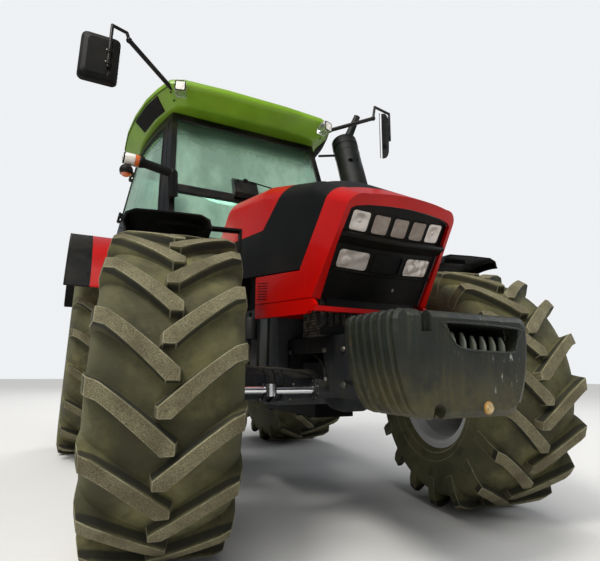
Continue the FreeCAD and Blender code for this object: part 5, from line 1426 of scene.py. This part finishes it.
def frame_fittings():
    """Bolts, plates and ribs, the tow pin, pipes, and the engine's filters, pulleys and fan."""
    stock = Stock()
    can = [(0, 0.040), (0.12, 0.042), (0.135, 0.036), (0.14, 0.0)]
    for side in (1, -1):
        outward = (side, 0, 0)
        for y in (F - 0.50, F - 0.38, F - 0.20, F + 0.19):
            for z in (0.70, 0.86):
                if y < F - 0.25 or z > 0.80:
                    stock.bolt((side * FRAME_SIDE, y, z), outward, 0.012, 0.012, 1)
        plate = Matrix.Translation((side * FRAME_SIDE, F - 0.44, 0.78))
        stock.slab(round_box(-0.05, 0.05, -0.06, 0.06, 0.012), (0.0, SHEET), 0,
                   plate @ Matrix.Rotation(-side * math.pi / 2, 4, "Z"))
        x = side * BLOCK_SIDE
        for k in range(6):
            y = F + 0.34 + 0.16 * k
            stock.block((x - SHEET, y, 0.72), (x + SHEET, y + 0.015, 1.13))
        for k in range(7):
            stock.bolt((x, F + 0.40 + 0.13 * k, 0.725), outward, 0.008, 0.008, 1)
            stock.bolt((side * 0.1705, F + 0.29 + 0.07 * k, 1.46), outward, 0.007, 0.007, 1)
        for y in (F + 0.55, F + 0.66):
            stock.knob((side * 0.302, y, 0.95), UP, can, 28, 2)
        for k in range(9):
            for z in (0.60, 1.05):
                stock.bolt((side * GEAR_SIDE, F + 1.34 + 0.135 * k, z), outward, 0.009, 0.009, 1)
        x = side * 0.229
        for y in (F + 1.30, F + 1.74, F + 2.20):
            stock.block((x - SHEET, y, 0.565), (x + SHEET, y + 0.018, 1.075))
        stock.hose([(side * 0.24, F + 1.20, 0.80), (side * 0.262, F + 1.32, 0.82),
                    (side * 0.262, F + 1.9, 0.84), (side * 0.24, F + 2.2, 0.86)], 0.011)
    for x, z, radius in ((0.0, 1.02, 0.085), (0.12, 1.16, 0.050)):
        pulley = [(0, radius), (0.010, radius), (0.014, radius - 0.012), (0.020, radius), (0.030, radius),
                  (0.030, radius - 0.02), (0.022, radius - 0.03), (0.022, 0)]
        stock.knob((x, F + 0.231, z), (0, -1, 0), pulley, 40, 1)
    stock.knob((0, F + 0.20, 1.20), (0, -1, 0), [(0, 0.19), (0.02, 0.20), (0.04, 0.19), (0.045, 0)], 36, 2)
    for y in (F - 0.60, F - 0.56):
        stock.block((-0.100, y, 0.958), (0.100, y + SHEET, 0.972))
    stock.rod((0, F - 0.64, 0.955), (0, F - 0.64, 0.985), 0.016, 20, 1)
    stock.piece("frame_fittings", "cast_black bolt_steel hose_rubber", "engine_block", smooth=40)


def rear_fittings():
    """Couplers with coloured caps, the shaft's splines and guard, pins and bolts at the rear."""
    stock = Stock()
    back = (0, 1, 0)
    body = [(0, 0.024), (0.018, 0.024), (0.020, 0.020), (0.045, 0.020), (0.047, 0.0)]
    # plugs in the couplers, red and blue by turns
    cap = [(0.046, 0.022), (0.058, 0.022), (0.062, 0.016), (0.062, 0)]
    for row in range(2):
        for k in range(4):
            coupler = (-0.12 + 0.08 * k, R + 0.3903, 0.86 + 0.085 * row)
            stock.knob(coupler, back, body, 24, 1)
            stock.knob(coupler, back, cap, 24, 3 + (k + row) % 2)
    for x, z in ring_of(6, 0.0145):
        stock.rod((x, R + 0.33, 0.700 + z), (x, R + 0.398, 0.700 + z), 0.0032, 8, 1)
    ring = arc_points((0, 0.71), 0.095, 0, 180, 13)
    stock.skin([[(x, y, z) for x, z in ring] for y in (R + 0.295, R + 0.385)], 2, closed=False, caps=False)
    stock.skin([[(x * 0.94, y, z - 0.004) for x, z in ring] for y in (R + 0.385, R + 0.295)], 2, closed=False,
               caps=False)
    for side in (1, -1):
        outward = (side, 0, 0)
        for x in (0.205, 0.282):
            stock.knob((side * x, LINK_Y, LINK_Z), outward, [(0, 0.030), (0.006, 0.028), (0.006, 0)], 20, 1)
        for z in (0.50, 0.62, 0.90):
            stock.bolt((side * 0.155, R + 0.2905, z), back, 0.011, 0.010, 1)
        for y, z in ring_of(6, 0.062):
            stock.bolt((side * 0.2562, SHAFT_Y + y, SHAFT_Z + z), outward, 0.006, 0.003, 1)
    stock.piece("rear_fittings", "cast_black bolt_steel black_plastic cap_red cap_blue", "hitch_frame",
                smooth=40)


def link_fittings():
    """Collars, clamp screws and eye washers on the lower links."""
    stock = Stock()
    collar = [(-0.014, 0.024), (-0.014, 0.032), (0.014, 0.032), (0.014, 0.024)]
    washer = [(0.0, 0.0200), (0.0, 0.036), (0.003, 0.034), (0.003, 0.0200)]
    for side in (1, -1):
        root = Vector((side * 0.250, LINK_Y, LINK_Z))
        end = Vector((side * 0.480, LINK_Y + LINK_REACH * math.cos(LINK_REST),
                      LINK_Z + LINK_REACH * math.sin(LINK_REST)))
        along = end - root
        for share in (0.16, 0.42, 0.86):
            at = root + along * share
            stock.turned(at, along, collar)
            stock.bolt(at + Vector((0, 0, 0.031)), UP, 0.007, 0.008, 1)
        ahead = along.normalized()
        square = (Vector((1, 0, 0)) - ahead * ahead.x).normalized()
        for s in (1, -1):
            stock.turned(end + square * 0.025 * s, square * s, washer, 28, 1)
    stock.piece("link_fittings", "cast_black bolt_steel", "lower_links", smooth=40)


def tank_fittings():
    """Filler cap, straps, step treads and the battery box's seam."""
    stock = Stock()
    strap = ((0.300, 1.084), (0.624, 1.084), (0.624, 0.426), (0.300, 0.426))
    seam = ((0.6205, 0.47), (0.6225, 0.75), (0.6205, 1.04))
    for side in (1, -1):
        cap = Vector((side * 0.46, F + 1.02, 1.0805))
        stock.knob(cap, UP, [(0, 0.052), (0.020, 0.050), (0.028, 0.042), (0.028, 0)], 36, 1)
        for k in range(3):
            stock.block((-0.006, 0.010, 0.026), (0.006, 0.046, 0.034), 1,
                        Matrix.Translation(cap) @ Matrix.Rotation(TAU * k / 3, 4, "Z"))
        for y in (F + 0.92, F + 1.10, F + 1.64):
            for ends in zip(strap, strap[1:]):
                stock.pipe([(side * x, y, z) for x, z in ends], 0.006, 8)
        for i, z in enumerate((0.500, 0.790, 1.080)):
            edge = 0.95 - 0.04 * i
            near, far = sorted((side * 0.66, side * (edge - 0.03)))
            for k in range(9):
                y = F + 1.205 + 0.043 * k
                stock.block((near, y - 0.006, z), (far, y + 0.006, z + 0.006), 2)
            for y, toward in ((F + 1.185, -1), (F + 1.555, 1)):
                stock.bolt((side * (edge - 0.06), y, z - 0.012), (0, toward, 0), 0.007, 0.006, 2)
        for k in range(5):
            y = F + 0.86 + 0.19 * k
            stock.pipe([(side * x, y, z) for x, z in seam], 0.004, 6)
    stock.piece("tank_fittings", "black_plastic hose_rubber bolt_steel", "tank_and_steps", bevel=0.001,
                smooth=40)


def over_wheel(centre_y, centre_z, across, degrees, out):
    """A point above a wheel, at an angle back from straight up and a distance from its middle."""
    a = math.radians(degrees)
    return Vector((across, centre_y + out * math.sin(a), centre_z + out * math.cos(a)))


FENDER_RADIUS = 1.100


def fender_details():
    """Beads and seam bolts on the rear fenders."""
    stock = Stock()

    def at(x, degrees, out=0.0):
        return over_wheel(R, REAR_WHEEL_Z, x, degrees, FENDER_RADIUS + out)

    for side in (1, -1):
        for x, out, size in ((1.402, -0.004, 0.0065), (1.225, 0.001, 0.0035)):
            stock.pipe([at(side * x, d, out) for d in range(-65, 63, 3)], size, 10)
        for d in range(-58, 60, 12):
            stock.bolt(at(side * 1.245, d, 0.0003), at(0, d, 1.0) - at(0, d), 0.008, 0.004)
    stock.piece("fender_beads", "black_plastic", "fender_extensions", smooth=45)


STEERED = math.radians(-10)
FRONT_FENDER_X = 0.907 + 0.045
# place across from the fender's middle, distance from the wheel's middle
FENDER_LIP = ((-0.203, 0.744), (-0.190, 0.783), (-0.150, 0.802), (0.0, 0.8045), (0.150, 0.802),
              (0.190, 0.783), (0.203, 0.744))


def front_fender_details(side, tag):
    """Lip, stiffening ribs and clamp bolts of one front fender."""
    stock = Stock()
    node = "front_fender_" + tag
    pin = Vector((side * KINGPIN_X, F, 0))
    turn = Matrix.Translation(pin) @ Matrix.Rotation(STEERED, 4, "Z") @ Matrix.Translation(-pin)

    def at(u, degrees, out):
        return turn @ over_wheel(F, AXLE_Z, side * FRONT_FENDER_X + u, degrees, out)

    for u, out in (FENDER_LIP[0], FENDER_LIP[-1]):
        stock.pipe([at(u, d, out + 0.001) for d in range(-8, 53, 3)], 0.0055, 10)
    for d in (-7.6, 51.6):
        stock.pipe([at(u, d, out) for u, out in FENDER_LIP], 0.005, 8)
    for d in (6, 20, 34):
        stock.pipe([at(u, d, 0.798) for u in (-0.15, -0.05, 0.05, 0.15)], 0.004, 8)
    for u in (-0.08, 0.02):
        stock.bolt(at(u, 3.6, 0.8082), at(u, 3.6, 1.0) - at(u, 3.6, 0.5), 0.010, 0.005, 1)
    stock.piece("details_" + node, "black_plastic bolt_steel", node, smooth=45)


WORK_LAMP_TURN = math.radians(18)
WORK_LAMP_MIDDLE = 0.0725
TAIL_LAMP_TURN = math.radians(-50)
TAIL_LAMP_TOP = 2.0255


def lamp_lenses():
    """Lenses, bezels and ribs on the roof's work lamps and the tail lamps."""
    stock = Stock()
    face = -0.055
    axle = Vector((0, R, REAR_WHEEL_Z))
    lift = Matrix.Translation(axle) @ Matrix.Rotation(TAIL_LAMP_TURN, 4, "X") @ Matrix.Translation(-axle)

    def work_lamp(half, radius):
        tall = half + 0.0015
        return round_box(-half, half, WORK_LAMP_MIDDLE - tall, WORK_LAMP_MIDDLE + tall, radius, 5)

    for side in (1, -1):
        place = Matrix.Translation((side * 0.700, F + 1.380, ROOF_BOTTOM))
        place = place @ Matrix.Rotation(side * WORK_LAMP_TURN, 4, "Z")
        stock.slab(work_lamp(0.040, 0.012), (face - 0.0005, face - 0.006), 0, place)
        stock.loop([place @ Vector((x, face - 0.003, z)) for x, z in work_lamp(0.042, 0.013)], 0.0035, 8, 1)
        stock.slab(round_box(-0.036, 0.036, 0.036, 0.109, 0.010, 5), (face - 0.0002, face - 0.0012), 2, place)
        for k in range(9):
            x = -0.034 + 0.0085 * k
            stock.pipe([place @ Vector((x, face - 0.0062, z)) for z in (0.038, 0.108)], 0.0012, 6)
        # tail lenses: inner and outer place across, finish
        for x0, x1, mark in ((1.008, 1.062, 4), (1.064, 1.118, 3), (1.120, 1.172, 0)):
            outline = round_box(x0, x1, R - 0.037, R + 0.037, 0.008, 4)
            faces = (TAIL_LAMP_TOP + 0.059, TAIL_LAMP_TOP + 0.066)
            rings = [[(side * x, y, z) for x, y in outline] for z in faces]
            stock.skin(rings, mark, place=lift)
    stock.piece("lamp_lenses", "lamp_glass black_plastic reflector lens_red lens_orange", "lamps", smooth=40)


AMBER_EDGE = math.radians(56)


def marker_lenses():
    """The white and amber lens at the marker lamp's end, its collar and the ball lamp's amber foot."""
    stock = Stock()
    y, z = F + 1.195, 2.080
    start, end = Vector((-0.960, y - 0.004, z + 0.190)), Vector((-1.110, y - 0.004, z + 0.200))
    along, reach = end - start, (end - start).length
    stock.turned(start, along, [(0.012, 0.0425), (0.018, 0.0450), (0.028, 0.0450), (0.034, 0.0425)], 32)
    amber = ((0.24, 0.0425), (0.26, 0.0460), (0.44, 0.0468), (0.45, 0.0435))
    white = ((0.45, 0.0435), (0.46, 0.0470), (0.90, 0.0450), (1.0, 0.0345), (1.06, 0.0))
    for profile, mark in ((amber, 2), (white, 1)):
        stock.turned(start, along, [(reach * share, r) for share, r in profile], 36, mark)
    ball, down = Vector((-1.080, y, z + 0.105)), (0, 0, -1)
    stock.turned(ball, down, arc_points((0, 0), 0.0492, 0, 54, 9), 32, 2)
    edge, across = 0.0485 * math.cos(AMBER_EDGE), 0.0485 * math.sin(AMBER_EDGE)
    rim = [(edge - 0.003, across + 0.001), (edge, across + 0.003), (edge + 0.003, across + 0.001)]
    stock.turned(ball, down, rim, 32)
    for x, up in ((-0.725, z + 0.02), (-0.738, z + 0.10)):
        stock.bolt((x, F + 1.154, up), (0, -1, 0), 0.006, 0.005)
    stock.piece("marker_lenses", "black_plastic marker_white marker_amber", "marker_lamp", smooth=50)


EXHAUST_RADIUS = 0.1245
GUARD_ROWS = 22
OUTLET_AXIS = Vector((0.34, -0.24, 1)).normalized()


def exhaust_fittings():
    """Bands with clamp bolts, near black discs that paint the shade in the guard's holes, and the outlet's rolled
    rim on the exhaust.
    """
    stock = Stock()
    lean = Vector((-0.02, -SCREEN_SLOPE, -1))
    top_z = ROOF_BOTTOM + 0.050
    top = Vector((1.010, screen_y(top_z) - 0.185, top_z))
    # bands: drop below the top, rise over the pipe
    for drop, rise in ((0.010, 0.0035), (0.165, 0.003), (0.805, 0.003), (1.070, 0.0035)):
        centre = top + lean * drop
        outer = EXHAUST_RADIUS + 0.0005 + rise
        band = [(-0.014, EXHAUST_RADIUS), (-0.012, outer), (0.012, outer), (0.014, EXHAUST_RADIUS)]
        stock.turned(centre, lean, band, 48)
        stock.bolt(centre + Vector((0.05, -0.122, 0.0)), (0.3, -1, 0.3), 0.007, 0.010, 1)
    # thin discs on the guard, in a near black finish, paint the shade inside its holes
    hole_shade = [(-0.0006, 0.0), (-0.0006, 0.0045), (0.0006, 0.0055), (0.0006, 0.0)]
    for row in range(GUARD_ROWS):
        centre = top + lean * (0.40 + row * 0.030)
        place = frame_along(centre, centre + lean)
        first = -150 + 7.5 * (row % 2)
        for y, z in arc_points((0, 0), EXHAUST_RADIUS + 0.0008, first, first + 120, 9):
            at = place @ Vector((0, y, z))
            stock.turned(at, (at - centre).normalized(), hole_shade, 8, 2)
    rim = [(-0.004, 0.031), (-0.004, 0.0345), (0.0005, 0.0350), (0.0015, 0.029), (-0.001, 0.026),
           (-0.001, 0.0)]
    stock.turned(top - Vector((0, 0, 0.040)) + OUTLET_AXIS * 0.360, OUTLET_AXIS, rim, 32)
    stock.piece("exhaust_fittings", "exhaust_black bolt_steel soot", "exhaust", smooth=45)


# Add-on
def colour_property(name, description, default):
    return bpy.props.FloatVectorProperty(
        name=name, description=description, subtype="COLOR", size=3, default=default)


class TractorStage(bpy.types.PropertyGroup):
    floor_size: bpy.props.FloatProperty(
        name="Floor", description="Side of the square floor", default=60.0, unit="LENGTH")
    floor_colour: colour_property("Floor colour", "Colour of the plain floor", (0.78, 0.77, 0.75))
    sky_strength: bpy.props.FloatProperty(
        name="Sky", description="Strength of the even light from all round", default=0.29)
    key_power: bpy.props.FloatProperty(
        name="Main lamp", description="Power of the main lamp", default=440.0, unit="POWER")


class TractorColours(bpy.types.PropertyGroup):
    paint: colour_property("Body paint", "Red of the hood and rear fenders", tint(200, 9, 4))
    roof: colour_property("Roof", "Green of the cab roof", tint(132, 176, 40))
    band: colour_property("Plastic", "Black of the band, fenders and trim", tint(8, 9, 9))
    casting: colour_property("Castings", "Colour of the axle, frame and gearbox", tint(22, 25, 29))
    weight: colour_property("Ballast", "Colour of the ballast plates", tint(27, 31, 26))
    wheel: colour_property("Wheels", "Colour of the rims", tint(214, 217, 215))


def finish_rows(colours):
    """Each finish: how it is made, its name, its colours and sizes, and its settings."""
    return (
        (paint_finish, "red_paint", [tuple(colours.paint)], dict(dust=0.05, coat=0.16, shine=0.2)),
        (paint_finish, "green_paint", [tuple(colours.roof)],
         dict(rough=0.34, dust=0.35, coat=0.12, shine=0.35)),
        (paint_finish, "black_paint", [tint(13, 14, 15)], dict(rough=0.35, dust=0.25, coat=0.1, shine=0.2)),
        (paint_finish, "rim_paint", [tuple(colours.wheel)], dict(rough=0.4, dust=0.45, coat=0.1)),
        (paint_finish, "marker_white", [tint(226, 220, 208)], dict(rough=0.15, dust=0.1, coat=1.0)),
        (paint_finish, "marker_amber", [tint(226, 110, 44)], dict(rough=0.15, dust=0.1, coat=1.0)),
        (plastic_finish, "black_plastic", [tuple(colours.band)], dict(rough=0.5, dust=0.14, shine=0.15)),
        (plastic_finish, "grey_plastic", [tint(86, 88, 90)], dict(dust=0.3)),
        (plastic_finish, "hose_rubber", [tint(22, 22, 22)], dict(rough=0.6)),
        (plastic_finish, "cap_red", [tint(150, 30, 26)], {}),
        (plastic_finish, "cap_blue", [tint(30, 62, 130)], {}),
        (plastic_finish, "lever_knob", [tint(196, 84, 22)], dict(dust=0.2)),
        (cast_finish, "cast_black", [tuple(colours.casting)], dict(dust=0.22, shine=0.3)),
        (cast_finish, "cast_grey", [tint(60, 64, 66)], {}),
        (cast_finish, "cast_weight", [tuple(colours.weight)],
         dict(dust=0.07, rust=0.25, rough=0.42, stain=0.7, scuffs=1.0, low=0.62, shine=0.3)),
        # pale colour for the ribs in the grip's shadowed opening: painted light, over real stains and scuffs
        (cast_finish, "worn_cast", [tint(112, 118, 104)], dict(dust=0.2, rust=0.1, stain=0.5, scuffs=0.8)),
        # near black finish of the discs that paint the shade inside the exhaust guard's holes
        (cast_finish, "soot", [tint(12, 12, 12)], dict(dust=0.1, rust=0.0)),
        (cast_finish, "rust", [tint(150, 112, 48)], dict(dust=0.3, rust=0.6)),
        (cast_finish, "exhaust_black", [tint(15, 19, 17)],
         dict(dust=0.08, rust=0.1, rough=0.45, pits=0.0004, stain=0.1, shine=0.2)),
        (metal_finish, "bolt_steel", [tint(150, 146, 138)], dict(rough=0.4)),
        (metal_finish, "chrome_rod", [tint(222, 224, 226)], dict(rough=0.1, dust=0.15)),
        # only half metallic: its white diffuse share paints the brightness a polished reflector would get from
        # reflection
        (metal_finish, "reflector", [tint(244, 232, 224)], dict(rough=0.28, dust=0.04, metallic=0.55)),
        (metal_finish, "mirror_glass", [tint(232, 236, 240)], dict(rough=0.03, dust=0.1)),
        (metal_finish, "rusty_steel", [tint(206, 184, 140)], dict(rough=0.35, dust=0.3, metallic=0.7)),
        # the second colour of each mesh paints the shade inside its holes
        (mesh_finish, "radiator_core", [tint(60, 60, 58), tint(12, 12, 12), 420.0], {}),
        (mesh_finish, "cell_mesh", [tint(196, 178, 164), tint(104, 92, 82), 1500.0, tint(216, 202, 188)], {}),
        (mesh_finish, "dark_mesh", [tint(26, 26, 26), tint(5, 5, 5), 1200.0, tint(34, 33, 31)], {}),
        (glass_finish, "tinted_glass", [tint(188, 226, 208)], {}),
        (lens_finish, "lamp_glass", [tint(236, 238, 236)], {}),
        (lens_finish, "lens_red", [tint(170, 12, 10)], dict(clear=0.3)),
        (lens_finish, "lens_orange", [tint(232, 96, 12)], dict(clear=0.3)),
        (cloth_finish, "seat_fabric", [tint(44, 46, 50)], {}),
        (rubber_finish, "front_rubber", [FRONT_TYRE[0]], {}),
        (rubber_finish, "rear_rubber", [REAR_TYRE[0]], {}),
        (bar_top_finish, "bar_top", [tint(60, 57, 36), tint(150, 142, 108)], {}),
        # pale rubber on the bars' rounded edges: partly wear, partly a painted highlight
        (bar_top_finish, "bar_edge", [tint(110, 107, 78), tint(178, 172, 140)], {}),
    )


# width of the rounded edges in metres: nodes that have it
SOFT_EDGES = {
    0.0: "mirror_arms marker_lamp exhaust cab_windows door_glass_left door_glass_right steering_wheel"
         " rim_front_left rim_front_right rim_rear_left rim_rear_right",
    0.002: "lift_rods steering_rod",
    0.003: "lower_links lift_arms bulkhead radiator front_fender_left front_fender_right cab_floor"
           " nose_panel",
    0.004: "door_left door_right hood_panels hood_band side_panels nose_lamps lamps",
    0.005: "fender_extensions cab_frame",
    0.006: "front_axle knuckle_left knuckle_right hitch_frame rear_fenders",
    0.008: "front_frame",
    0.01: "engine_block console seat_base",
    0.012: "transmission rear_axle tank_and_steps ballast_plates",
    0.02: "cab_roof mirror_heads seat",
}


class TRACTOR_OT_stage(bpy.types.Operator):
    """Makes the floor, the lights and the camera"""

    bl_idname = "tractor.stage"
    bl_label = "Stage"

    def execute(self, context):
        make_stage(context.scene.tractor_stage)
        return {"FINISHED"}


class TRACTOR_OT_finishes(bpy.types.Operator):
    """Makes the materials and gives each construction node its own"""

    bl_idname = "tractor.finishes"
    bl_label = "Finishes"

    def execute(self, context):
        for maker, name, values, settings in finish_rows(context.scene.tractor_colours):
            FINISHES[name] = maker(name, *values, **settings)
        for width, nodes in SOFT_EDGES.items():
            for node in nodes.split():
                dress_node(node, width)
        return {"FINISHED"}


class TRACTOR_OT_tyres(bpy.types.Operator):
    """Builds the four lugged tyres"""

    bl_idname = "tractor.tyres"
    bl_label = "Tyres"

    def execute(self, context):
        for wheel in WHEELS:
            build_tyre(wheel)
        return {"FINISHED"}


class TRACTOR_OT_hubs(bpy.types.Operator):
    """Builds hubs, nuts and rim details"""

    bl_idname = "tractor.hubs"
    bl_label = "Hubs"

    def execute(self, context):
        for wheel in WHEELS:
            build_hub(wheel)
        return {"FINISHED"}


class TRACTOR_OT_nose(bpy.types.Operator):
    """Builds the nose's lights and trim, the louvre bars and the radiator behind the nose"""

    bl_idname = "tractor.nose"
    bl_label = "Nose"

    def execute(self, context):
        nose_lights()
        nose_trim()
        hood_fittings()
        radiator_pack()
        return {"FINISHED"}


class TRACTOR_OT_ballast(bpy.types.Operator):
    """Builds the ballast's bolt, lips and ribs"""

    bl_idname = "tractor.ballast"
    bl_label = "Ballast"

    def execute(self, context):
        ballast_fittings()
        return {"FINISHED"}


class TRACTOR_OT_cab(bpy.types.Operator):
    """Builds seals, wiper, door and roof trim, and the driver's place"""

    bl_idname = "tractor.cab"
    bl_label = "Cab"

    def execute(self, context):
        gaskets()
        wiper()
        for side, tag in SIDES:
            door_trim(side, tag)
        roof_trim()
        screen_top()
        driver_place()
        return {"FINISHED"}


class TRACTOR_OT_seat(bpy.types.Operator):
    """Builds the seat's stuffed cushions"""

    bl_idname = "tractor.seat"
    bl_label = "Seat"

    def execute(self, context):
        seat_cushions()
        return {"FINISHED"}


class TRACTOR_OT_outside(bpy.types.Operator):
    """Builds the fittings of mirrors, lamps, exhaust, tank and fenders"""

    bl_idname = "tractor.outside"
    bl_label = "Mirrors, lamps, exhaust and fenders"

    def execute(self, context):
        mirror_details()
        lamp_lenses()
        marker_lenses()
        exhaust_fittings()
        tank_fittings()
        fender_details()
        for side, tag in SIDES:
            front_fender_details(side, tag)
        return {"FINISHED"}


class TRACTOR_OT_chassis(bpy.types.Operator):
    """Builds the fittings of the axle, frame and rear linkage"""

    bl_idname = "tractor.chassis"
    bl_label = "Chassis"

    def execute(self, context):
        axle_fittings()
        for side, tag in SIDES:
            knuckle_fittings(side, tag)
        frame_fittings()
        rear_fittings()
        link_fittings()
        return {"FINISHED"}


OPERATORS = (TRACTOR_OT_stage, TRACTOR_OT_finishes, TRACTOR_OT_tyres, TRACTOR_OT_hubs, TRACTOR_OT_nose,
             TRACTOR_OT_ballast, TRACTOR_OT_cab, TRACTOR_OT_seat, TRACTOR_OT_outside, TRACTOR_OT_chassis)


class TRACTOR_PT_pieces(bpy.types.Panel):
    """Lists the pieces in the order in which they are made"""

    bl_idname = "TRACTOR_PT_pieces"
    bl_label = "Tractor"
    bl_space_type = "VIEW_3D"
    bl_region_type = "UI"
    bl_category = "Tractor"

    def draw(self, context):
        scene = context.scene
        for group in (scene.tractor_colours, scene.tractor_stage):
            for name in group.__annotations__:
                self.layout.prop(group, name)
        for operator in OPERATORS:
            self.layout.operator(operator.bl_idname)


CLASSES = (TractorStage, TractorColours, *OPERATORS, TRACTOR_PT_pieces)


def register():
    for kind in CLASSES:
        bpy.utils.register_class(kind)
    bpy.types.Scene.tractor_stage = bpy.props.PointerProperty(type=TractorStage)
    bpy.types.Scene.tractor_colours = bpy.props.PointerProperty(type=TractorColours)


def unregister():
    del bpy.types.Scene.tractor_colours
    del bpy.types.Scene.tractor_stage
    for kind in reversed(CLASSES):
        bpy.utils.unregister_class(kind)


def main():
    register()
    for operator in OPERATORS:
        getattr(bpy.ops.tractor, operator.bl_idname.split(".")[1])()


if __name__ == "__main__":
    main()
